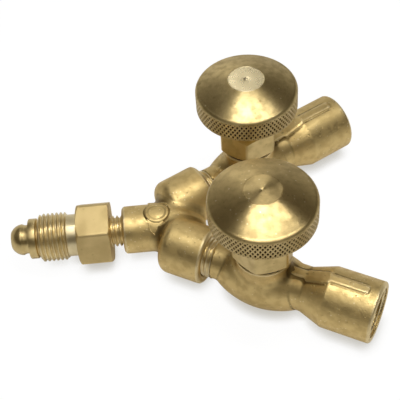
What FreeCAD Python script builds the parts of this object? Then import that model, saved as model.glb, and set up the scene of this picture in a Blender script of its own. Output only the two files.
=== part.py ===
import FreeCAD, Part
import math
import os
import Sketcher

# Y connector for gas hose, with a hand valve in each branch.
# A one-piece male adaptor screws into a forged Y body, and a forged needle valve
# screws into each branch. Millimetres throughout.
# The frame: the origin is on the inlet axis, halfway along the inlet thread. +X runs
# with the flow, from the nose towards the branches. +Z runs up the valve stems.

# Driving sizes. Angles are in degrees.
SIZES = {
    # Inlet adaptor, from its nose to the pipe thread in the Y body
    "inlet_thread_dia": 15.8,
    "inlet_thread_length": 8.4,
    "inlet_thread_chamfer": 0.5,
    "neck_groove_dia": 10.9,
    "neck_groove_width": 1.0,
    "land_dia": 13.2,
    "land_length": 2.5,
    "nose_groove_dia": 9.4,
    "nose_groove_width": 1.5,
    "nose_dia": 10.2,
    "nose_length": 4.4,
    "nose_crown_length": 0.9,
    "nose_rounding": 4.4,
    "nose_tip_dia": 5.8,
    "nose_bore_dia": 4.0,
    "relief_dia": 13.7,
    "relief_length": 4.1,
    "inlet_hex_across": 19.05,
    "inlet_hex_length": 10.7,
    "inlet_hex_chamfer_dia": 18.8,
    "inlet_hex_back_chamfer_dia": 20.6,
    "inlet_hex_turn": 13.0,
    "nipple_dia": 10.3,
    "nipple_exposed": 4.0,
    "nipple_engaged": 7.0,
    "pipe_taper_angle": 1.79,
    "pipe_thread_clearance": 0.05,
    "hex_chamfer_angle": 30.0,
    "hex_trim_margin": 1.0,
    # Forged Y body, from the point where the three flow axes meet
    "fork_half_angle": 29.0,
    "inlet_face_from_meet": 2.0,
    "barrel_dia": 15.6,
    "barrel_length": 15.0,
    "branch_dia": 18.6,
    "branch_face_from_meet": 29.0,
    "branch_length": 12.0,
    "shoulder_radius": 3.2,
    "shoulder_back_angle": 14.0,
    "crotch_from_meet": 25.3,
    "crotch_tip_dia": 2.0,
    "branch_fillet": 3.0,
    "pad_dia": 8.0,
    "pad_rise": 0.3,
    "pad_from_meet": 9.6,
    "body_bore_dia": 5.2,
    "body_bore_start": 6.5,
    "port_run_out": 1.2,
    # Forged valve body, from its stem axis
    "stem_from_meet": 47.8,
    "valve_thread_dia": 12.9,
    "valve_thread_engaged": 9.5,
    "valve_thread_exposed": 2.7,
    "valve_thread_chamfer": 0.8,
    "valve_neck_dia": 12.6,
    "belly_half_length": 14.0,
    "belly_end_dia": 11.8,
    "belly_radius": 26.0,
    "belly_drop": 1.1,
    "waist_dia": 14.4,
    "waist_from_stem": 14.2,
    "flare_length": 7.5,
    "outlet_dia": 19.6,
    "outlet_end_from_stem": 37.5,
    "outlet_chamfer": 0.5,
    "bonnet_boss_height": 11.7,
    "bonnet_boss_dia": 17.8,
    "bonnet_boss_foot_dia": 14.8,
    "boss_fillet": 3.0,
    "rib_width": 2.9,
    "rib_height": 7.8,
    "rib_start_from_stem": 3.0,
    "ramp_width": 4.2,
    "ramp_rise": 0.2,
    "strip_rise": 0.35,
    "strip_short_of_end": 3.7,
    # Passages and sockets inside the valve body
    "inlet_passage_dia": 4.4,
    "inlet_passage_past_stem": 2.2,
    "orifice_dia": 4.0,
    "seat_height": 4.3,
    "seat_crown_dia": 6.0,
    "seat_crown_rise": 0.8,
    "chamber_dia": 12.0,
    "chamber_top": 5.8,
    "outlet_passage_dia": 3.2,
    "outlet_passage_slope": 20.5,
    "outlet_passage_length": 14.2,
    "outlet_thread_bore": 14.5,
    "outlet_thread_length": 11.0,
    "outlet_mouth_chamfer": 0.8,
    "socket_dia": 13.6,
    "socket_length": 3.0,
    "nose_socket_dia": 10.8,
    "nose_socket_length": 3.2,
    "cone_seat_length": 2.7,
    "cone_end_dia": 5.4,
    "cone_bore_length": 1.2,
    # Bonnet
    "bonnet_thread_dia": 14.2,
    "bonnet_thread_length": 5.0,
    "bonnet_thread_clearance": 0.05,
    "bonnet_lead": 0.6,
    "bonnet_relief_length": 0.75,
    "bonnet_relief_dia": 13.2,
    "bonnet_hex_across": 17.46,
    "bonnet_hex_length": 9.2,
    "bonnet_hex_chamfer_dia": 16.6,
    "bonnet_collar_dia": 12.4,
    "bonnet_collar_length": 2.0,
    "left_bonnet_turn": 53.5,
    "right_bonnet_turn": 39.0,
    "gasket_thickness": 0.6,
    "gasket_width": 1.1,
    "gasket_clearance": 0.2,
    # Stem, its seals and the swivelling seat
    "stem_thread_dia": 11.1,
    "stem_thread_length": 4.5,
    "stem_thread_clearance": 0.06,
    "stem_lift": 2.54,
    "stem_dia": 7.94,
    "stem_clearance": 0.05,
    "stem_top_dia": 6.35,
    "stem_top_length": 10.5,
    "stem_end_chamfer": 0.6,
    "washer_thickness": 0.8,
    "washer_stop_gap": 0.1,
    "washer_clearance": 0.1,
    "ring_groove_dia": 5.2,
    "ring_groove_above_stop": 0.8,
    "ring_section": 1.3,
    "ring_clearance": 0.05,
    "backup_thickness": 0.9,
    "disc_dia": 6.8,
    "disc_thickness": 1.6,
    "disc_depth_in_holder": 1.0,
    "disc_clearance": 0.05,
    "holder_dia": 10.2,
    "holder_height": 4.0,
    "holder_chamfer": 0.4,
    "button_dia": 5.0,
    "button_length": 1.05,
    "button_above_disc": 0.85,
    "button_neck_dia": 3.8,
    "button_clearance": 0.1,
    "holder_lip": 1.0,
    "stem_above_holder": 0.3,
    # Knob
    "knob_dia": 32.6,
    "knob_rim_height": 6.6,
    "knob_rim_chamfer": 0.35,
    "crown_rounding": 1.4,
    "crown_edge_inset": 1.1,
    "crown_edge_rise": 1.1,
    "crown_radius": 45.0,
    "crown_rise": 4.6,
    "crown_flat_dia": 11.6,
    "centre_mark_dia": 0.9,
    "centre_mark_depth": 0.4,
    "hub_dia": 13.0,
    "hub_length": 4.4,
    "hub_above_bonnet": 1.5,
    "knob_bore_clearance": 0.03,
    "knob_bore_end_gap": 0.2,
}

SHEET = "Sizes"
HEX_SIDES = 6
SHARP_SEAM = 0.8
PROBE_RISE = 0.03
PROBE_REACH = 0.15
MADE_PARTS = []


class Size:
    """A length or angle as a number together with the sheet expression behind it."""

    def __init__(self, number, text):
        self.number = number
        self.text = text

    @staticmethod
    def of(value):
        """Return value as a Size, wrapping a plain number."""
        return value if isinstance(value, Size) else Size(float(value), repr(float(value)))

    def _joined(self, sign, other, number):
        return Size(number, "(%s %s %s)" % (self.text, sign, Size.of(other).text))

    def __add__(self, other):
        return self._joined("+", other, self.number + Size.of(other).number)

    def __sub__(self, other):
        return self._joined("-", other, self.number - Size.of(other).number)

    def __mul__(self, other):
        return self._joined("*", other, self.number * Size.of(other).number)

    def __truediv__(self, other):
        return self._joined("/", other, self.number / Size.of(other).number)

    def __neg__(self):
        return Size(-self.number, "(-1 * %s)" % self.text)

    def cos(self):
        """Return the cosine of this angle."""
        return Size(math.cos(math.radians(self.number)), "cos(%s * 1 deg)" % self.text)

    def sin(self):
        """Return the sine of this angle."""
        return Size(math.sin(math.radians(self.number)), "sin(%s * 1 deg)" % self.text)

    def tan(self):
        """Return the tangent of this angle."""
        return Size(math.tan(math.radians(self.number)), "tan(%s * 1 deg)" % self.text)


def size(name):
    """Return the driving size with this name."""
    return Size(SIZES[name], "%s.%s" % (SHEET, name))


def half(name):
    """Return half of a driving size, such as the radius of a diameter."""
    return size(name) / 2


def fill_sheet(doc):
    """Write the driving sizes into the document's sheet, each with its alias."""
    sheet = doc.addObject("Spreadsheet::Sheet", SHEET)
    for row, (name, number) in enumerate(SIZES.items(), start=1):
        sheet.set("A%d" % row, name.replace("_", " "))
        sheet.set("B%d" % row, str(number))
        sheet.setAlias("B%d" % row, name)
    doc.recompute()


def new_body(doc, name):
    """Add an empty body for one sub-part and note it for export."""
    body = doc.addObject("PartDesign::Body", name)
    body.Label = name
    MADE_PARTS.append(body)
    return body


def origin_plane(body, role):
    """Return one of the body's own origin planes."""
    return next(item for item in body.Origin.OriginFeatures if item.Role == role)


def new_sketch(body, name, role, shift=(0, 0, 0), turn=0):
    """Add a sketch on an origin plane, shifted and turned within that plane."""
    sketch = body.newObject("Sketcher::SketchObject", name)
    sketch.AttachmentSupport = [(origin_plane(body, role), "")]
    sketch.MapMode = "FlatFace"
    angle = Size.of(turn)
    spot = [Size.of(value) for value in shift]
    sketch.AttachmentOffset = FreeCAD.Placement(
        FreeCAD.Vector(*[value.number for value in spot]),
        FreeCAD.Rotation(FreeCAD.Vector(0, 0, 1), angle.number),
    )
    for axis, value in zip("xyz", spot):
        if value.number:
            sketch.setExpression("AttachmentOffset.Base." + axis, value.text)
    if angle.number:
        sketch.setExpression("AttachmentOffset.Rotation.Angle", angle.text)
    return sketch


class Outline:
    """A closed outline in a sketch, with every corner and radius bound to the sheet."""

    def __init__(self, sketch, x, y):
        self.sketch = sketch
        self.start = (Size.of(x), Size.of(y))
        self.here = self.start
        self.first_end = None
        self.last_end = None
        self.corners = 0

    def bind(self, kind, geometry, end, value, name):
        """Add a measured constraint and tie it to the sheet."""
        index = self.sketch.addConstraint(Sketcher.Constraint(kind, *geometry, *end, value.number))
        self.sketch.renameConstraint(index, name)
        self.sketch.setExpression("Constraints." + name, value.text)

    def fix_point(self, geometry, end, corner):
        """Hold one end of an edge at its place, measured from the sketch axes."""
        self.corners += 1
        for kind, axis, value in (("DistanceX", -2, corner[0]), ("DistanceY", -1, corner[1])):
            if abs(value.number) < 1e-9:
                self.sketch.addConstraint(Sketcher.Constraint("PointOnObject", geometry, end, axis))
            else:
                name = "%s%d" % ("x" if kind == "DistanceX" else "y", self.corners)
                self.bind(kind, (geometry,), (end,), value, name)

    def _join(self, geometry, begin, finish, target):
        if self.last_end is None:
            self.first_end = (geometry, begin)
            self.fix_point(geometry, begin, self.here)
        else:
            self.sketch.addConstraint(
                Sketcher.Constraint("Coincident", *self.last_end, geometry, begin)
            )
        self.last_end = (geometry, finish)
        if target is self.start:
            self.sketch.addConstraint(
                Sketcher.Constraint("Coincident", geometry, finish, *self.first_end)
            )
        else:
            self.fix_point(geometry, finish, target)
        self.here = target

    def _vector(self, corner):
        return FreeCAD.Vector(corner[0].number, corner[1].number, 0)

    def line(self, x, y):
        """Draw a straight edge to a corner."""
        return self._line_to((Size.of(x), Size.of(y)))

    def _line_to(self, target):
        edge = Part.LineSegment(self._vector(self.here), self._vector(target))
        geometry = self.sketch.addGeometry(edge, False)
        self._join(geometry, 1, 2, target)
        return self

    def arc(self, x, y, radius, clockwise=True):
        """Draw a round edge of a given radius to a corner."""
        target = (Size.of(x), Size.of(y))
        begin, finish = self._vector(self.here), self._vector(target)
        chord = finish - begin
        rise = math.sqrt(radius.number**2 - (chord.Length / 2) ** 2)
        side = FreeCAD.Vector(chord.y, -chord.x, 0).normalize()
        centre = begin + chord * 0.5 + side * (rise if clockwise else -rise)
        first, second = (finish, begin) if clockwise else (begin, finish)
        circle = Part.Circle(centre, FreeCAD.Vector(0, 0, 1), radius.number)
        angles = [math.atan2(spot.y - centre.y, spot.x - centre.x) for spot in (first, second)]
        geometry = self.sketch.addGeometry(Part.ArcOfCircle(circle, *angles), False)
        self._join(geometry, *((2, 1) if clockwise else (1, 2)), target)
        self.bind("Radius", (geometry,), (), radius, "radius%d" % self.corners)
        return self

    def close(self):
        """Draw the straight edge back to the first corner."""
        self._line_to(self.start)
        return self.sketch


def turned(body, name, outline, axis="H_Axis", cut=False):
    """Turn an outline full circle about a sketch axis, to add metal or to cut it."""
    kind = "PartDesign::Groove" if cut else "PartDesign::Revolution"
    feature = body.newObject(kind, name)
    feature.Profile = outline
    feature.ReferenceAxis = (outline, [axis])
    feature.Angle = 360
    return feature


def padded(body, name, outline, length, midplane=False):
    """Raise an outline to a length."""
    feature = body.newObject("PartDesign::Pad", name)
    feature.Profile = outline
    feature.Midplane = midplane
    feature.setExpression("Length", length.text)
    return feature


def mirror(body, name, feature):
    """Repeat a feature on the other side of the body's XZ plane."""
    copy = body.newObject("PartDesign::Mirrored", name)
    copy.Originals = [feature]
    copy.MirrorPlane = (origin_plane(body, "XZ_Plane"), [""])
    body.Tip = copy
    return copy


def is_inward_seam(shape, edge):
    """Tell whether two curved faces meet sharply at this edge in an inward corner."""
    faces = shape.ancestorsOfType(edge, Part.Face)
    if len(faces) != 2 or any(isinstance(face.Surface, Part.Plane) for face in faces):
        return False
    spot = edge.valueAt((edge.FirstParameter + edge.LastParameter) / 2)
    normals = [face.normalAt(*face.Surface.parameter(spot)) for face in faces]
    if normals[0].dot(normals[1]) > SHARP_SEAM:
        return False
    outward = (normals[0] + normals[1]).normalize() * PROBE_RISE
    along = normals[0].cross(normals[1]).normalize()
    across = normals[0].cross(along) * PROBE_REACH
    return any(shape.isInside(spot + outward + side, 1e-4, False) for side in (across, -across))


def blend_seams(body, name, radius):
    """Round every inward corner that curved forged surfaces make so far."""
    body.Document.recompute()
    base = body.Tip
    edges = enumerate(base.Shape.Edges, start=1)
    names = ["Edge%d" % index for index, edge in edges if is_inward_seam(base.Shape, edge)]
    fillet = body.newObject("PartDesign::Fillet", name)
    fillet.Base = (base, names)
    fillet.setExpression("Radius", radius.text)
    return fillet


def hexagon(sketch, across, turn):
    """Draw a regular hexagon round the sketch's origin, one corner at the turn angle."""
    corner_radius = across / 2 / Size.of(180 / HEX_SIDES).cos()
    corners = []
    for step in range(HEX_SIDES):
        angle = turn + 360 / HEX_SIDES * step
        corners.append((corner_radius * angle.cos(), corner_radius * angle.sin()))
    outline = Outline(sketch, *corners[0])
    for corner in corners[1:]:
        outline.line(*corner)
    return outline.close()


def trim_corners(body, name, face, inward, across, inner, axis):
    """Turn the corners of a hexagon away at one of its faces."""
    outer = across / 2 / Size.of(180 / HEX_SIDES).cos() + size("hex_trim_margin")
    back = face + (outer - inner) * size("hex_chamfer_angle").tan() * inward
    corners = [(face, inner), (face, outer), (back, outer)]
    if axis == "V_Axis":
        corners = [(radius, height) for height, radius in corners]
    trim = Outline(new_sketch(body, name + "Trim", "XZ_Plane"), *corners[0])
    for corner in corners[1:]:
        trim.line(*corner)
    turned(body, name + "Chamfer", trim.close(), axis=axis, cut=True)


def circle(sketch, x, y, dia_name):
    """Draw a circle with its centre at x, y."""
    centre = FreeCAD.Vector(x.number, y.number, 0)
    radius = half(dia_name)
    geometry = sketch.addGeometry(
        Part.Circle(centre, FreeCAD.Vector(0, 0, 1), radius.number), False
    )
    outline = Outline(sketch, x, y)
    outline.fix_point(geometry, 3, (x, y))
    outline.bind("Radius", (geometry,), (), radius, "radius")
    return sketch


def place(body, x, y=None, turn=None):
    """Bind a body's place, and its turn about +Z, to the sheet."""
    for axis, value in (("x", x), ("y", y)):
        if value is not None:
            body.setExpression("Placement.Base." + axis, value.text)
    if turn is not None:
        body.Placement.Rotation = FreeCAD.Rotation(FreeCAD.Vector(0, 0, 1), turn.number)
        body.setExpression("Placement.Rotation.Angle", turn.text)


# Where the inlet stack puts things along X
THREAD_END = half("inlet_thread_length")
HEX_START = THREAD_END + size("relief_length")
HEX_END = HEX_START + size("inlet_hex_length")
INLET_FACE = HEX_END + size("nipple_exposed")
MEET = INLET_FACE + size("inlet_face_from_meet")

# Heights in a valve, from its flow axis
GASKET_TOP = size("bonnet_boss_height") + size("gasket_thickness")
BONNET_TOP = GASKET_TOP + size("bonnet_hex_length") + size("bonnet_collar_length")
BONNET_FOOT = GASKET_TOP - size("gasket_thickness") - size("bonnet_thread_length")
HOLDER_FOOT = size("seat_height") + size("disc_thickness") - size("disc_depth_in_holder")
HOLDER_TOP = HOLDER_FOOT + size("holder_height")
STEM_THREAD_FOOT = HOLDER_TOP + size("stem_above_holder")
STEM_SHOULDER = STEM_THREAD_FOOT + size("stem_thread_length")
WASHER_TOP = STEM_SHOULDER + size("washer_thickness")
BONNET_STOP = WASHER_TOP + size("stem_lift") + size("washer_stop_gap")
RING_GROOVE_FOOT = BONNET_STOP + size("ring_groove_above_stop")
BACKUP_FOOT = RING_GROOVE_FOOT + size("ring_section") + size("ring_clearance") * 2
RING_GROOVE_TOP = BACKUP_FOOT + size("backup_thickness") + size("ring_clearance")
HUB_FOOT = BONNET_TOP + size("hub_above_bonnet")
RIM_FOOT = HUB_FOOT + size("hub_length")
RIM_TOP = RIM_FOOT + size("knob_rim_height")
CROWN_TOP = RIM_TOP + size("crown_rise")


def make_inlet_adaptor(doc):
    """One-piece male adaptor: nose, thread, hexagon and pipe-thread nipple."""
    body = new_body(doc, "inlet_adaptor")
    groove = -THREAD_END - size("neck_groove_width")
    land = groove - size("land_length")
    nose_back = land - size("nose_groove_width")
    tip = nose_back - size("nose_length")
    nose_crown = nose_back - size("nose_crown_length")
    chamfer = size("inlet_thread_chamfer")
    front = Outline(new_sketch(body, "FrontOutline", "XZ_Plane"), tip, 0)
    front.line(tip, half("nose_tip_dia"))
    front.arc(nose_crown, half("nose_dia"), size("nose_rounding"))
    front.line(nose_back, half("nose_groove_dia"))
    front.line(land, half("nose_groove_dia"))
    front.line(land, half("land_dia")).line(groove, half("land_dia"))
    front.line(-THREAD_END - size("neck_groove_width") / 2, half("neck_groove_dia"))
    front.line(-THREAD_END, half("inlet_thread_dia") - chamfer)
    front.line(-THREAD_END + chamfer, half("inlet_thread_dia"))
    front.line(THREAD_END, half("inlet_thread_dia"))
    front.line(THREAD_END, half("relief_dia")).line(HEX_START, half("relief_dia"))
    front.line(HEX_START, 0)
    turned(body, "Front", front.close())

    hex_sketch = new_sketch(body, "HexOutline", "YZ_Plane", shift=(0, 0, HEX_START))
    across = size("inlet_hex_across")
    front_radius = half("inlet_hex_chamfer_dia")
    back_radius = half("inlet_hex_back_chamfer_dia")
    hexagon(hex_sketch, across, size("inlet_hex_turn"))
    padded(body, "Hex", hex_sketch, size("inlet_hex_length"))
    trim_corners(body, "HexFront", HEX_START, 1, across, front_radius, "H_Axis")
    trim_corners(body, "HexBack", HEX_END, -1, across, back_radius, "H_Axis")

    nipple_end = INLET_FACE + size("nipple_engaged")
    taper = size("pipe_taper_angle").tan()
    nipple = Outline(new_sketch(body, "NippleOutline", "XZ_Plane"), HEX_END, 0)
    nipple.line(HEX_END, half("nipple_dia"))
    nipple.line(nipple_end, half("nipple_dia") - taper * (nipple_end - HEX_END))
    nipple.line(nipple_end, 0)
    turned(body, "Nipple", nipple.close())

    bore = Outline(new_sketch(body, "BoreOutline", "XZ_Plane"), tip, 0)
    bore.line(tip, half("nose_bore_dia")).line(nipple_end, half("nose_bore_dia"))
    bore.line(nipple_end, 0)
    turned(body, "Bore", bore.close(), cut=True)
    return body


def make_y_body(doc):
    """Forged Y: bullet-ended barrel, two domed branch bosses and threaded ports."""
    body = new_body(doc, "y_body")
    face = -size("inlet_face_from_meet")
    barrel_radius = half("barrel_dia")
    barrel_end = face + size("barrel_length")
    crotch, tip_radius = size("crotch_from_meet"), half("crotch_tip_dia")
    reach, drop = crotch - barrel_end, barrel_radius - tip_radius
    crotch_radius = (reach * reach / drop + drop) / 2
    barrel = Outline(new_sketch(body, "BarrelOutline", "XZ_Plane"), face, 0)
    barrel.line(face, barrel_radius).line(barrel_end, barrel_radius)
    barrel.arc(crotch, tip_radius, crotch_radius).line(crotch, 0)
    turned(body, "Barrel", barrel.close())

    angle = size("fork_half_angle")
    branch_face = size("branch_face_from_meet")
    rounding, back_angle = size("shoulder_radius"), size("shoulder_back_angle")
    shoulder = branch_face - size("branch_length")
    back_x = shoulder - rounding * back_angle.cos()
    back_radius = half("branch_dia") - rounding + rounding * back_angle.sin()
    root = back_x - back_radius * back_angle.tan()
    branch = Outline(new_sketch(body, "BranchOutline", "XY_Plane", turn=angle), root, 0)
    branch.line(back_x, back_radius).arc(shoulder, half("branch_dia"), rounding)
    branch.line(branch_face, half("branch_dia")).line(branch_face, 0)
    branch_boss = turned(body, "Branch", branch.close())
    mirror(body, "OtherBranch", branch_boss)
    blend_seams(body, "BranchFillets", size("branch_fillet"))

    pad_sketch = new_sketch(body, "PadOutline", "XY_Plane")
    circle(pad_sketch, size("pad_from_meet"), Size.of(0), "pad_dia")
    padded(body, "Pad", pad_sketch, barrel_radius + size("pad_rise"))

    taper = size("pipe_taper_angle").tan()
    gap = size("pipe_thread_clearance")
    port_end = face + size("nipple_engaged") + size("port_run_out")
    mouth = half("nipple_dia") - taper * size("nipple_exposed") + gap
    inner = mouth - taper * (port_end - face)
    bore_end = size("body_bore_start") + size("body_bore_dia")
    port = Outline(new_sketch(body, "InletPortOutline", "XZ_Plane"), face, 0)
    port.line(face, mouth).line(port_end, inner).line(port_end, half("body_bore_dia"))
    port.line(bore_end, half("body_bore_dia")).line(bore_end, 0)
    turned(body, "InletPort", port.close(), cut=True)

    branch_mouth = half("valve_thread_dia") + gap
    depth = size("valve_thread_engaged") + size("port_run_out")
    branch_end = branch_face - depth
    branch_inner = branch_mouth - taper * depth
    bore_start = size("body_bore_start")
    branch_port = Outline(
        new_sketch(body, "BranchPortOutline", "XY_Plane", turn=angle), branch_face, 0
    )
    branch_port.line(branch_face, branch_mouth).line(branch_end, branch_inner)
    branch_port.line(branch_end, half("body_bore_dia"))
    branch_port.line(bore_start, half("body_bore_dia")).line(bore_start, 0)
    branch_cut = turned(body, "BranchPort", branch_port.close(), cut=True)
    mirror(body, "OtherBranchPort", branch_cut)
    place(body, MEET)
    return body


def make_valve_body(doc, side):
    """Forged valve body: globe belly, bonnet boss, nipple, waist and round outlet."""
    body = new_body(doc, side + "_valve_body")
    mouth = size("branch_face_from_meet") - size("stem_from_meet")
    nipple_end = mouth - size("valve_thread_engaged")
    exposed_end = mouth + size("valve_thread_exposed")
    taper = size("pipe_taper_angle").tan()
    chamfer = size("valve_thread_chamfer")
    end = size("outlet_end_from_stem")
    waist = size("waist_from_stem")
    reach = size("belly_half_length")
    belly_sketch = new_sketch(body, "BellyOutline", "XZ_Plane", shift=(0, -size("belly_drop"), 0))
    belly = Outline(belly_sketch, -reach, 0)
    belly.line(-reach, half("belly_end_dia"))
    belly.arc(reach, half("belly_end_dia"), size("belly_radius")).line(reach, 0)
    turned(body, "Belly", belly.close())

    top = size("bonnet_boss_height")
    boss = Outline(new_sketch(body, "BossOutline", "XZ_Plane"), 0, 0)
    boss.line(half("bonnet_boss_foot_dia"), 0).line(half("bonnet_boss_dia"), top)
    boss.line(0, top)
    turned(body, "BonnetBoss", boss.close(), axis="V_Axis")
    blend_seams(body, "BossFillet", size("boss_fillet"))

    flare_end = waist + size("flare_length")
    run = Outline(new_sketch(body, "RunOutline", "XZ_Plane"), nipple_end, 0)
    nipple_radius = half("valve_thread_dia") - taper * size("valve_thread_engaged")
    run.line(nipple_end, nipple_radius - chamfer).line(nipple_end + chamfer, nipple_radius)
    run.line(mouth, half("valve_thread_dia"))
    run.line(exposed_end, half("valve_thread_dia") + taper * size("valve_thread_exposed"))
    run.line(exposed_end, half("valve_neck_dia")).line(0, half("valve_neck_dia"))
    run.line(0, half("waist_dia")).line(waist, half("waist_dia"))
    run.line(flare_end, half("outlet_dia"))
    run.line(end - size("outlet_chamfer"), half("outlet_dia"))
    run.line(end, half("outlet_dia") - size("outlet_chamfer")).line(end, 0)
    turned(body, "Run", run.close())

    rib_start, strip_end = size("rib_start_from_stem"), end - size("strip_short_of_end")
    strip_top = half("outlet_dia") + size("strip_rise")
    rib = Outline(new_sketch(body, "RibOutline", "XZ_Plane"), rib_start, 0)
    rib.line(rib_start, size("rib_height")).line(waist, size("rib_height"))
    rib.line(flare_end, strip_top).line(strip_end, strip_top).line(strip_end, 0)
    padded(body, "TopRib", rib.close(), size("rib_width"), midplane=True)

    ramp = Outline(new_sketch(body, "RampOutline", "XZ_Plane"), waist, 0)
    ramp.line(waist, half("waist_dia") + size("ramp_rise"))
    ramp.line(flare_end, half("outlet_dia") + size("ramp_rise")).line(flare_end, 0)
    padded(body, "RibRamp", ramp.close(), size("ramp_width"), midplane=True)

    cut_valve_passages(body, nipple_end, end)
    return body


def cut_valve_passages(body, nipple_end, end):
    """Cut the bonnet port with its seat, the passages and the outlet socket."""
    top = size("bonnet_boss_height")
    seat = size("seat_height")
    floor = seat - size("seat_crown_rise")
    port_radius = half("bonnet_thread_dia") + size("bonnet_thread_clearance")
    port = Outline(new_sketch(body, "PortOutline", "XZ_Plane"), 0, 0)
    port.line(half("orifice_dia"), 0).line(half("orifice_dia"), seat)
    port.line(half("seat_crown_dia"), seat).line(half("seat_crown_dia"), floor)
    port.line(half("chamber_dia"), floor).line(half("chamber_dia"), size("chamber_top"))
    port.line(port_radius, size("chamber_top")).line(port_radius, top).line(0, top)
    turned(body, "BonnetPort", port.close(), axis="V_Axis", cut=True)

    past = size("inlet_passage_past_stem")
    inlet = Outline(new_sketch(body, "InletPassageOutline", "XZ_Plane"), nipple_end, 0)
    inlet.line(nipple_end, half("inlet_passage_dia")).line(past, half("inlet_passage_dia"))
    inlet.line(past, 0)
    turned(body, "InletPassage", inlet.close(), cut=True)

    thread_end = end - size("outlet_thread_length")
    socket_end = thread_end - size("socket_length")
    nose_end = socket_end - size("nose_socket_length")
    cone_end = nose_end - size("cone_seat_length")
    bore_end = cone_end - size("cone_bore_length")
    lead = size("outlet_mouth_chamfer")
    outlet = Outline(new_sketch(body, "OutletOutline", "XZ_Plane"), end, 0)
    outlet.line(end, half("outlet_thread_bore") + lead)
    outlet.line(end - lead, half("outlet_thread_bore"))
    outlet.line(thread_end, half("outlet_thread_bore")).line(thread_end, half("socket_dia"))
    outlet.line(socket_end, half("socket_dia")).line(socket_end, half("nose_socket_dia"))
    outlet.line(nose_end, half("nose_socket_dia")).line(cone_end, half("cone_end_dia"))
    outlet.line(bore_end, half("cone_end_dia")).line(bore_end, 0)
    turned(body, "OutletSocket", outlet.close(), cut=True)

    length = size("outlet_passage_length")
    slanted = new_sketch(
        body,
        "OutletPassageOutline",
        "XZ_Plane",
        shift=(cone_end, 0, 0),
        turn=-size("outlet_passage_slope"),
    )
    passage = Outline(slanted, -length, 0)
    passage.line(-length, half("outlet_passage_dia")).line(0, half("outlet_passage_dia"))
    passage.line(0, 0)
    turned(body, "OutletPassage", passage.close(), cut=True)


def ring(doc, name, inner, outer, foot, top):
    """A plain flat ring round the stem axis."""
    body = new_body(doc, name)
    outline = Outline(new_sketch(body, "RingOutline", "XZ_Plane"), inner, foot)
    outline.line(outer, foot).line(outer, top).line(inner, top)
    turned(body, "Ring", outline.close(), axis="V_Axis")
    return body


def make_bonnet_gasket(doc, side):
    """Flat washer that seals the bonnet against the boss."""
    inner = half("bonnet_thread_dia") + size("gasket_clearance")
    outer = inner + size("gasket_width")
    boss_top = size("bonnet_boss_height")
    return ring(doc, side + "_bonnet_gasket", inner, outer, boss_top, GASKET_TOP)


def make_bonnet(doc, side):
    """Hexagon bonnet that screws into the boss and carries the stem."""
    body = new_body(doc, side + "_bonnet")
    hex_top = GASKET_TOP + size("bonnet_hex_length")
    relief_foot = GASKET_TOP - size("gasket_thickness") - size("bonnet_relief_length")
    core = Outline(new_sketch(body, "CoreOutline", "XZ_Plane"), 0, BONNET_FOOT)
    core.line(half("bonnet_relief_dia"), BONNET_FOOT)
    core.line(half("bonnet_thread_dia"), BONNET_FOOT + size("bonnet_lead"))
    core.line(half("bonnet_thread_dia"), relief_foot)
    core.line(half("bonnet_relief_dia"), relief_foot)
    core.line(half("bonnet_relief_dia"), GASKET_TOP)
    core.line(half("bonnet_collar_dia"), GASKET_TOP).line(half("bonnet_collar_dia"), BONNET_TOP)
    core.line(0, BONNET_TOP)
    turned(body, "Core", core.close(), axis="V_Axis")

    hex_sketch = new_sketch(body, "HexOutline", "XY_Plane", shift=(0, 0, GASKET_TOP))
    across, inner = size("bonnet_hex_across"), half("bonnet_hex_chamfer_dia")
    hexagon(hex_sketch, across, size(side + "_bonnet_turn"))
    padded(body, "Hex", hex_sketch, size("bonnet_hex_length"))
    trim_corners(body, "Foot", GASKET_TOP, 1, across, inner, "V_Axis")
    trim_corners(body, "Top", hex_top, -1, across, inner, "V_Axis")

    thread = half("stem_thread_dia") + size("stem_thread_clearance")
    gland = half("stem_dia") + size("stem_clearance")
    bore = Outline(new_sketch(body, "BoreOutline", "XZ_Plane"), 0, BONNET_FOOT)
    bore.line(thread, BONNET_FOOT).line(thread, BONNET_STOP)
    bore.line(gland, BONNET_STOP).line(gland, BONNET_TOP).line(0, BONNET_TOP)
    turned(body, "StemBore", bore.close(), axis="V_Axis", cut=True)
    return body


def make_stem(doc, side):
    """Stem: swivel button, thread, sealed shank with a ring groove, and knob spigot."""
    body = new_body(doc, side + "_stem")
    button_foot = HOLDER_FOOT + size("disc_depth_in_holder") + size("button_above_disc")
    button_top = button_foot + size("button_length")
    stem_top = HUB_FOOT + size("stem_top_length")
    chamfer = size("stem_end_chamfer")
    outline = Outline(new_sketch(body, "StemOutline", "XZ_Plane"), 0, button_foot)
    outline.line(half("button_dia"), button_foot).line(half("button_dia"), button_top)
    outline.line(half("button_neck_dia"), button_top)
    outline.line(half("button_neck_dia"), STEM_THREAD_FOOT)
    outline.line(half("stem_thread_dia") - chamfer, STEM_THREAD_FOOT)
    outline.line(half("stem_thread_dia"), STEM_THREAD_FOOT + chamfer)
    outline.line(half("stem_thread_dia"), STEM_SHOULDER).line(half("stem_dia"), STEM_SHOULDER)
    outline.line(half("stem_dia"), RING_GROOVE_FOOT)
    outline.line(half("ring_groove_dia"), RING_GROOVE_FOOT)
    outline.line(half("ring_groove_dia"), RING_GROOVE_TOP)
    outline.line(half("stem_dia"), RING_GROOVE_TOP).line(half("stem_dia"), HUB_FOOT)
    outline.line(half("stem_top_dia"), HUB_FOOT).line(half("stem_top_dia"), stem_top - chamfer)
    outline.line(half("stem_top_dia") - chamfer, stem_top).line(0, stem_top)
    turned(body, "Stem", outline.close(), axis="V_Axis")
    return body


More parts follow.
